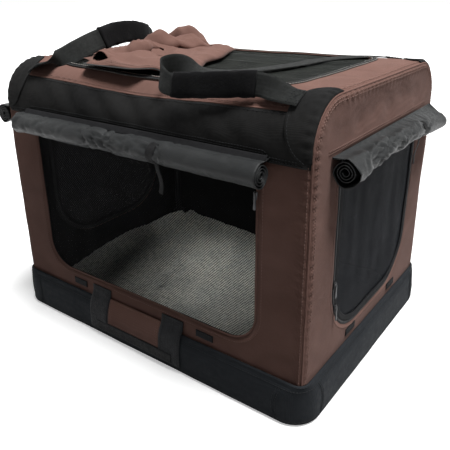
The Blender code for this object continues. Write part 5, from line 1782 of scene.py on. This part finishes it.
@dataclass
class RoofWindow:
    """Net window of the roof, its zip, and the brown cover folded back over its left half."""

    lap: float = 0.013
    zip_half: float = 0.0055

    def on_roof(self, spot: Spot, lift: float) -> Vector:
        """Place of the roof's point (x, y), lifted off the draped roof; below it, the net hangs slack."""
        x, y = spot
        s = SHAPE.roof_s(y)
        point, normal = SHAPE.at(s, x)
        edge = min(ROOF_HALF_X - abs(x), ROOF_HALF_Y - abs(y))
        fold = 0.0014 * noise.noise(Vector((x * 9.0, y * 34.0, 1.5)))
        slack = fold * smooth_step(edge / 0.06) if lift < 0 else 0.0
        return point + normal * (DRAPE.long_face(s, x) + lift + slack)

    def on_net(self, spot: Spot) -> Vector:
        """Place of a point of the net, under the roof's edge."""
        return self.on_roof(spot, -0.0034)

    def rim_run(self, grow: float, lift: float) -> Run:
        """Closed run round the window, that far outside its edge."""
        half_x, half_y, corner = (size + grow for size in (ROOF_HALF_X, ROOF_HALF_Y, ROOF_CORNER))
        path = round_path(rounded_sides(half_x, -half_y, half_y, corner, corner), 0.006)
        return [(self.on_roof(spot, lift), UP) for spot in path]

    def net(self) -> Object:
        """The net, one layer under the roof's edge."""
        layout = Layout()
        half_x, half_y = ROOF_HALF_X + self.lap, ROOF_HALF_Y + self.lap * 0.6
        outer = rounded_sides(half_x, -half_y, half_y, ROOF_CORNER, ROOF_CORNER)
        inner = rounded_sides(0.11, -0.05, 0.05, 0.02, 0.02)
        close_middle(layout, ring_rows(layout, outer, inner, 26, 0.006, self.on_net), self.on_net)
        made = place(layout.piece("roof_net", ROOF_NET, CENTRE), "crate", "black_mesh", "roof_mesh")
        return made

    def zip(self) -> list[Object]:
        """Zip tape round the window, its teeth and its stitches."""
        grow = self.zip_half + 0.001
        run = self.rim_run(grow, 0.0004)
        tape = ribbon("roof_zip_tape", ZIP_TAPE, run, self.zip_half, 0.0011, closed=True)
        place(tape, "crate", "zip_tape", "roof_zip")
        coil = place(zip_coil("roof_zip_coil", run + run[:1], 0.0013), "crate", "zip_tape")
        thread = Seamstress("roof_window_stitches", "crate", "zip_tape", THREAD_PALE)
        for extra in (0.004, -0.004):
            line = self.rim_run(grow + extra, 0.0016)
            thread.sew(line + line[:1])
        return [tape, coil, thread.done()]

    def build(self) -> list[Object]:
        """Builds the window and its folded cover."""
        return self.zip() + [self.net()] + FoldedFlap().build()


@dataclass(frozen=True)
class Heap:
    """One loose fold of the flap: its run over the roof, its half widths and heights at both ends."""

    name: str
    start: Spot
    end: Spot
    wide: Spot
    high: Spot
    open: bool = False


HEAPS = (
    Heap("flap_front_fold", (-0.14, -0.172), (-0.118, -0.045), (0.03, 0.02), (0.024, 0.012), True),
    Heap("flap_middle_fold", (-0.215, -0.045), (-0.11, 0.105), (0.028, 0.04), (0.014, 0.018)),
    Heap("flap_back_fold", (-0.236, 0.045), (-0.13, 0.15), (0.022, 0.026), (0.02, 0.024)),
)


@dataclass
class FoldedFlap:
    """The roof window's cover, unzipped, thrown back to the left and lying in loose layers."""

    left: float = -0.214
    cloth: float = 0.0016
    low: float = 0.5166
    turn: float = 0.4

    def right(self, b: float) -> float:
        """Where its folded edge lies, from -1 at the front to 1 at the back."""
        return 0.004 - 0.055 * b + 0.006 * math.sin(5.0 * b)

    def crest(self, x: float, b: float) -> float:
        """Height of the heap at a place, over the net or over the roof beside it."""
        width = self.right(b) - self.left
        a = 2 * (x - self.left) / width - 1
        edge = min(max(abs(a), abs(b)), 1.0)
        height = 0.0125 * math.sqrt(max(1 - edge**6, 0.0))
        roll = 0.02 * bell(a + 0.62 - 0.18 * b, 0.22) * (0.55 + 0.45 * b)
        hump = 0.01 * bell(a + 0.25, 0.3) * bell(b + 0.45, 0.3)
        return height + (roll + hump) * (1 - edge**6)

    def layer(self, x: float, b: float) -> float:
        """Height of the upper layer of the heap, with its own creases."""
        top = self.crest(x, b)
        point = Vector((x * 16.0, b * 3.1, 1.0))
        crease = noise.noise(point) + 0.5 * noise.noise(point * 2.3)
        ridge = abs(noise.noise(Vector((x * 11.0 + b * 2.2, b * 2.0 - x * 5.0, 5.0)))) - 0.22
        return top * 0.93 + (0.0042 * crease - 0.019 * ridge) * min(top / 0.012, 1.0)

    def fold(self, name: str, at: Callable[[float, float], Vector], lining: Finish | None = None) -> Object:
        """One fold of the cover, as a sheet.

        Args:
            name: the piece's name.
            at: gives the place of a point of the sheet, each of its two parts from 0 to 1.
            lining: finish of its inner side, where that shows.

        Returns:
            The fold.
        """
        layout = Layout()
        layout.fill([layout.row(at(i / 71, v) for i in range(72)) for v in spread(0.0, 1.0, 73)])
        return thicken(layout.piece(name, BROWN, Vector((0, 0, 0))), self.cloth, lining)

    def main(self, u: float, v: float) -> Vector:
        """The long sheet: its lower layer runs right and the upper one comes back over it."""
        b = -1 + 2 * v
        right = self.right(b) - 0.004
        wander = 0.01 * noise.noise(Vector((v * 5.0, u * 4.0, 8.0)))
        if u < self.turn:
            share = u / self.turn
            x = self.left + (right - self.left) * share
            lift = 0.001 + 0.1 * self.crest(x, b) * (1 - bell(share - 1.0, 0.2))
        else:
            share = (u - self.turn) / (1 - self.turn)
            x = right + 0.004 * math.sin(math.pi * min(share * 12, 1.0)) - (right - self.left - 0.012) * share
            lift = self.layer(x, b) * smooth_step(share / 0.055) + 0.0018
            lift = max(lift, 0.0035 * smooth_step(share / 0.04))
        front = -0.15 - 0.052 * smooth_step((0.03 - x) / 0.07) * smooth_step((x + 0.175) / 0.03)
        y = front + (0.147 - front) * v + (0.006 * math.sin(48.0 * x) + 0.5 * wander) * (1 - abs(b))
        beside = smooth_step((-y - ROOF_HALF_Y + 0.016) / 0.014)
        beside = max(beside, smooth_step((-x - ROOF_HALF_X + 0.055) / 0.014))
        return Vector((x, y, self.low + lift + 0.0052 * beside))

    def heap(self, fold: Heap, u: float, v: float) -> Vector:
        """A loose fold on top: an arch across its run, crumpled as it goes."""
        start, end = Vector(fold.start), Vector(fold.end)
        middle = start.lerp(end, v)
        across = Vector((end.y - start.y, start.x - end.x)).normalized()
        wide = fold.wide[0] + (fold.wide[1] - fold.wide[0]) * v
        wide += 0.006 * noise.noise(Vector((v * 8.0, fold.wide[0] * 90.0, 2.0)))
        high = fold.high[0] + (fold.high[1] - fold.high[0]) * v
        high *= 1.0 + 0.45 * noise.noise(Vector((v * 6.0, u * 3.4, fold.high[1] * 300.0)))
        turn = math.pi * (1.14 * u - 0.07)
        spot = middle - across * wide * math.cos(turn)
        spot += across * 0.007 * math.sin(9.0 * v + 2.0) * math.sin(math.pi * v)
        ends = smooth_step((1 - v) / 0.16) * (1.0 if fold.open else smooth_step(v / 0.14))
        b = min(max(spot.y / 0.15, -1.0), 1.0)
        lift = self.layer(spot.x, b) + 0.0024 + high * max(math.sin(turn), -0.12) * ends
        lift += 0.003 * noise.noise(Vector((spot.x * 42.0, spot.y * 20.0, 3.0))) * math.sin(math.pi * u)
        return Vector((spot.x, spot.y, self.low + max(lift, 0.0045)))

    def build(self) -> list[Object]:
        """Builds the folded cover, its heaps, and the half zip and stitches along its edges."""
        lower = place(self.fold("roof_flap_fold", self.main), "crate", "brown_cloth", "roof_flap")
        made = [lower]
        for fold in HEAPS:
            upper = place(self.fold(fold.name, partial(self.heap, fold), LINING), "crate", "brown_cloth")
            length = (Vector(fold.end) - Vector(fold.start)).length
            size = (1.25 * (sum(fold.wide) + sum(fold.high)), length)
            made.append(upper)
        hem = [(self.main(u, 0.0) + Vector((0, -0.0022, -0.0012)), UP) for u in spread(0.44, 0.985, 90)]
        tape = place(ribbon("flap_zip_tape", ZIP_TAPE, hem, 0.0042, 0.001), "crate", "zip_tape")
        thread = Seamstress("flap_stitches", "crate", "brown_cloth", THREAD_BROWN)
        for inset in (0.006, 0.01):
            for v in (inset / 0.3, 1 - inset / 0.3):
                thread.sew([(self.main(u, v) + UP * 0.0004, UP) for u in spread(0.46, 0.985, 60)])
        return made + [tape, thread.done()]


@dataclass
class ZipPull:
    """Cast slider with its bridge and a hanging pull tab."""

    name: str
    body: str
    window: WindowShape
    along_wall: float
    up: float
    proud: float = 0.0014

    def at(self, a: float, up: float, depth: float) -> Vector:
        """Point beside the slider's middle."""
        wall = self.window.wall
        return wall.at(self.along_wall + a, self.up + up, wall.depth + self.proud + depth)

    def plate(self, name: str, keys: Sequence[Spot], low: float, high: float, bevel: float) -> Object:
        """Bevelled plate between two depths, from (height, half width) pairs."""
        loop = [(w, z) for z, w in keys] + [(-w, z) for z, w in reversed(keys)]
        middle = sum(key[0] for key in keys) / len(keys)
        rings = []
        for depth, shrink in ((low, bevel), (low + bevel, 0.0), (high - bevel, 0.0), (high, bevel)):
            ring = []
            for w, z in loop:
                wide = math.copysign(max(abs(w) - shrink, 0.0002), w)
                ring.append(self.at(wide, z + (shrink if z < middle else -shrink), depth))
            rings.append(ring)
        return loft(name, METAL, rings)

    def bridge(self) -> Object:
        """Arched bridge over the slider that holds the tab."""
        out, side = self.window.wall.outward(), self.window.wall.at(1.0, 0.0, 0.0)
        rings = []
        for turn in spread(0.0, math.pi, 13):
            middle = self.at(0.0, 0.0056 * math.cos(turn), 0.0028 + 0.002 * math.sin(turn))
            radial = (out * math.sin(turn) + UP * math.cos(turn)).normalized()
            around = [(math.cos(TAU * i / 10) * 0.0016, math.sin(TAU * i / 10) * 0.0006) for i in range(10)]
            rings.append([middle + side * a + radial * b for a, b in around])
        return loft(self.name + "_bridge", METAL, rings)

    def build(self) -> list[Object]:
        """Builds the slider, its bridge and its tab."""
        body = [(-0.006, 0.0018), (-0.005, 0.0024), (-0.0015, 0.0026)]
        body += [(0.0022, 0.0033), (0.005, 0.0034), (0.0062, 0.0026)]
        tab = [(-0.0215, 0.0014), (-0.0208, 0.0022), (-0.017, 0.0024), (-0.009, 0.0017)]
        tab += [(-0.004, 0.0019), (0.0005, 0.0019), (0.0012, 0.0012)]
        slider = self.plate(self.name, body, 0.0004, 0.003, 0.0005)
        pieces = [self.bridge(), self.plate(self.name + "_tab", tab, 0.0036, 0.005, 0.0003)]
        place(slider, self.body, "zip_metal", self.name + "_slider")
        return [slider] + [place(piece, self.body, "zip_metal") for piece in pieces]


@dataclass
class LoopTab:
    """Black hook-and-loop tab under a window, sewn on along its edge."""

    name: str
    wall: Wall
    along_wall: float
    up: float
    half: float = 0.0185
    high: float = 0.0065

    def at(self, a: float, b: float, lift: float) -> Vector:
        """Point of the tab, its two parts from -1 to 1, that far off the wall."""
        return self.wall.on_cloth(self.along_wall + a * self.half, self.up + b * self.high, lift)

    def build(self) -> list[Object]:
        """Builds the tab with its curled edge and its stitches."""
        rings = []
        for b in spread(-1.0, 1.0, 9):
            ring = []
            for side, steps in ((1.0, spread(-1, 1, 21)), (0.0, spread(1, -1, 21))):
                for a in steps:
                    rim = smooth_step((1 - max(abs(a), abs(b))) / 0.14)
                    curl = 0.001 * max(a - 0.6, 0.0)
                    ring.append(self.at(a, b, 0.0003 + side * (0.001 + 0.0006 * rim) + curl))
            rings.append(ring)
        made = place(loft(self.name, BINDING, rings), "crate", "black_cloth", self.name + "_loop_tab")
        thread = Seamstress(self.name + "_stitches", "crate", "black_cloth", THREAD_BLACK)
        for b in (-0.72, 0.72):
            run = [(self.at(a, b, 0.0019), self.wall.outward()) for a in spread(-0.92, 0.92, 9)]
            thread.sew(run, 0.0042, 0.0029, 0.0004)
        return [made, thread.done()]


@dataclass
class TubeFrame:
    """Steel tubes, moulded brackets and clips, and the base board: the solids that stay as they are."""

    def build(self) -> list[Object]:
        """Gives the kept solids their finishes."""
        finishes = {"frame_steel": STEEL, "black_plastic": PLASTIC, "grey_board": BOARD}
        rows = frame["record"]["subparts"]
        slots = {row["node"]: row["material_slot"] for row in rows if "material_slot" in row}
        dressed = []
        for name, node in frame["nodes"].items():
            finish = finishes.get(slots.get(name, ""))
            if finish is None:
                continue
            node.data.materials.clear()
            node.data.materials.append(finish.made())
            dressed.append(node)
        return dressed


@dataclass
class Studio:
    """Pale floor, soft lamps and the camera at the photograph's angle."""

    eye: Vector = Vector((0.652, -0.874, 0.665))
    yaw: float = 36.52
    pitch: float = 21.07
    roll: float = -0.65
    focal: float = 556.47
    frame: float = 450.0
    centre_x: float = 222.25
    centre_y: float = 192.46
    key_from: Colour = (0.25, 0.04, 0.97)
    key_angle: float = 24.0
    key_power: float = 4.4
    ambient: float = 0.062

    def camera(self) -> None:
        """Places the camera that a fit to the photograph's edges gave."""
        yaw, pitch, roll = (math.radians(x) for x in (self.yaw, self.pitch, self.roll))
        ahead = Vector((-math.sin(yaw) * math.cos(pitch), math.cos(yaw) * math.cos(pitch), -math.sin(pitch)))
        level = Vector((math.cos(yaw), math.sin(yaw), 0.0))
        above = level.cross(ahead)
        right = level * math.cos(roll) + above * math.sin(roll)
        up = above * math.cos(roll) - level * math.sin(roll)
        data = bpy.data.cameras.new("camera")
        data.sensor_width = 36.0
        data.lens = self.focal / self.frame * data.sensor_width
        data.shift_x = (self.frame / 2 - self.centre_x) / self.frame
        data.shift_y = (self.centre_y - self.frame / 2) / self.frame
        data.clip_start, data.clip_end = 0.05, 50.0
        camera = bpy.data.objects.new("camera", data)
        camera.matrix_world = Matrix(
            ((right.x, up.x, -ahead.x, self.eye.x), (right.y, up.y, -ahead.y, self.eye.y),
             (right.z, up.z, -ahead.z, self.eye.z), (0, 0, 0, 1))
        )
        bpy.context.scene.collection.objects.link(camera)
        bpy.context.scene.camera = camera

    def key_light(self) -> None:
        """Adds the wide, even light from above, behind and to the right."""
        data = bpy.data.lights.new("key", "SUN")
        data.angle = math.radians(self.key_angle)
        data.energy = self.key_power
        lamp = bpy.data.objects.new("key", data)
        lamp.rotation_mode = "QUATERNION"
        lamp.rotation_quaternion = Vector(self.key_from).to_track_quat("Z", "Y")
        bpy.context.scene.collection.objects.link(lamp)

    def world(self) -> None:
        """Even light from all round; white to the camera, to gloss and through glass."""
        world = bpy.data.worlds.new("studio")
        bench = Bench(world, "Background")
        bench.set(Color=(1.0, 1.0, 1.0), Strength=bench.ramp(bench.seen(), 0.0, 1.0, self.ambient, 1.0))
        bpy.context.scene.world = world

    def build(self) -> list[Object]:
        """Builds the floor, the lamps, the world and the camera."""
        layout = Layout()
        stops = spread(-14.0, 14.0, 9)
        layout.fill([layout.row(Vector((x, y, -0.0006)) for x in stops) for y in stops])
        finish = StageFloor("studio_floor", (0.93, 0.93, 0.93), (0.13, 0.13, 0.13))
        floor = layout.piece("floor", finish, Vector((0, 0, -1)))
        self.key_light()
        self.world()
        self.camera()
        bpy.context.scene.view_settings.view_transform = "Standard"
        return [floor]


LEFT_KEYS = [
    ((-0.284, -0.216, 0.508), (0, -0.9, -0.42)),
    ((-0.256, -0.211, 0.518), (-0.1, -0.97, -0.1)),
    ((-0.227, -0.199, 0.523), (-0.4, -0.85, 0.2)),
    ((-0.224, -0.148, 0.54), (-0.42, -0.42, 0.66)),
    ((-0.24, -0.076, 0.553), (-0.34, -0.24, 0.9)),
    ((-0.242, -0.004, 0.561), (-0.15, 0.0, 1)),
    ((-0.246, 0.066, 0.549), (-0.25, 0.38, 0.88)),
    ((-0.25, 0.096, 0.528), (-0.7, 0.45, 0.45)),
    ((-0.258, 0.14, 0.5215), (-0.96, 0.2, 0.12)),
    ((-0.27, 0.185, 0.52), (-0.97, -0.15, 0)),
    ((-0.284, 0.216, 0.5085), (-0.97, -0.25, 0)),
]
RIGHT_KEYS = [
    ((0.296, -0.212, 0.513), (0, 0.9, 0.43)),
    ((0.278, -0.214, 0.515), (0, 0.88, 0.48)),
    ((0.256, -0.214, 0.52), (0, 0.66, 0.75)),
    ((0.226, -0.216, 0.5255), (0, 0.2, 0.98)),
    ((0.16, -0.232, 0.521), (0, 0.18, 0.98)),
    ((0.093, -0.242, 0.516), (0, 0.2, 0.98)),
    ((0.066, -0.236, 0.523), (0, 0.25, 0.97)),
    ((0.05, -0.214, 0.533), (0, 0.15, 1.0)),
    ((0.064, -0.192, 0.537), (0.3, 0.5, 0.8)),
    ((0.096, -0.164, 0.527), (-0.6, 0.75, 0.15)),
    ((0.126, -0.1, 0.5205), (-0.9, 0.4, 0)),
    ((0.15, 0.02, 0.5175), (-1, 0.15, 0)),
    ((0.168, 0.115, 0.518), (-0.9, 0.42, 0)),
    ((0.21, 0.172, 0.5195), (-0.5, 0.86, 0)),
    ((0.256, 0.194, 0.5195), (-0.15, 0.97, -0.15)),
    ((0.286, 0.204, 0.514), (0, 0.92, -0.38)),
]


def front_hang(a: float) -> float:
    """How far the front roll hangs below its hem at a place along it."""
    return 0.0005 + 0.001 * (a / 0.3) ** 2


def right_hang(a: float) -> float:
    """How far the right end's roll hangs below its hem: it droops past its tie."""
    return 0.0005 + 0.013 * smooth_step((a - 0.04) / 0.192)


def left_hang(a: float) -> float:
    """How far the left end's roll hangs below its hem; that roll is sewn further to the front."""
    return right_hang(a + 0.054)


def builders() -> Iterator[object]:
    """The sub-assemblies, in the order in which they are built."""
    yield from (Studio(), TubeFrame(), BaseTray(), FleeceMat(), SewnCover())
    yield MeshDoor(FRONT_WINDOW, NET, BROWN, 0.0017)
    yield MeshDoor(RIGHT_WINDOW, CLOSE_NET, BINDING)
    yield MeshDoor(LEFT_WINDOW, SHADED_NET, BINDING)
    pinches = ((-0.028, 0.16, 0.016), (-0.052, 0.06, 0.02), (-0.22, 0.05, 0.03))
    yield RolledBlind(Wall.FRONT, 0.0187, -0.272, 0.271, 0.078, front_hang, pinches)
    pinches = ((-0.118, 0.2, 0.016), (-0.07, 0.1, 0.014), (-0.03, 0.2, 0.015), (0.03, 0.08, 0.02))
    yield RolledBlind(Wall.RIGHT, 0.0185, -0.196, 0.232, 0.11, right_hang, pinches, 0.5, taper=0.16, seed=4.0)
    yield RolledBlind(Wall.LEFT, 0.0172, -0.246, 0.178, 0.056, left_hang, pinches, 0.12, taper=0.08, seed=8.0)
    yield RoofWindow()
    yield CarryHandle("left", LEFT_KEYS, 4, 6, (-0.272, 0.0, 0.52), (-0.252, 0.0, 0.536))
    right_ends = ((0.29, 0.0, 0.52), (0.262, 0.0, 0.52))
    yield CarryHandle("right", RIGHT_KEYS, 3, 5, *right_ends, 0.0172, grip_half=0.0192, steps=12)
    yield ZipPull("front_zip", "front_slider", FRONT_WINDOW, 0.251, 0.375, 0.003)
    for window in (RIGHT_WINDOW, LEFT_WINDOW):
        side, a = window.wall.value, -window.half + 0.0003 + window.zip_width / 2
        yield ZipPull(side + "_upper_zip", side + "_slider", window, a, 0.215)
        yield ZipPull(side + "_lower_zip", "crate", window, a + 0.0072, 0.17)
    yield LoopTab("front_left", Wall.FRONT, -0.169, 0.093)
    yield LoopTab("front_right", Wall.FRONT, 0.148, 0.093)
    for wall in (Wall.RIGHT, Wall.LEFT):
        yield LoopTab(wall.value + "_front", wall, -0.08, 0.09)
        yield LoopTab(wall.value + "_back", wall, 0.108, 0.09)


def main() -> None:
    """Builds every sub-assembly in order and reports each piece."""
    logging.basicConfig(level=logging.INFO, format="%(name)s: %(message)s")
    for builder in builders():
        for piece in builder.build():
            faces = len(piece.data.polygons) if piece.type == "MESH" else 0
            log.info("%s: %s, %d faces", type(builder).__name__, piece.name, faces)


if __name__ == "__main__":
    main()
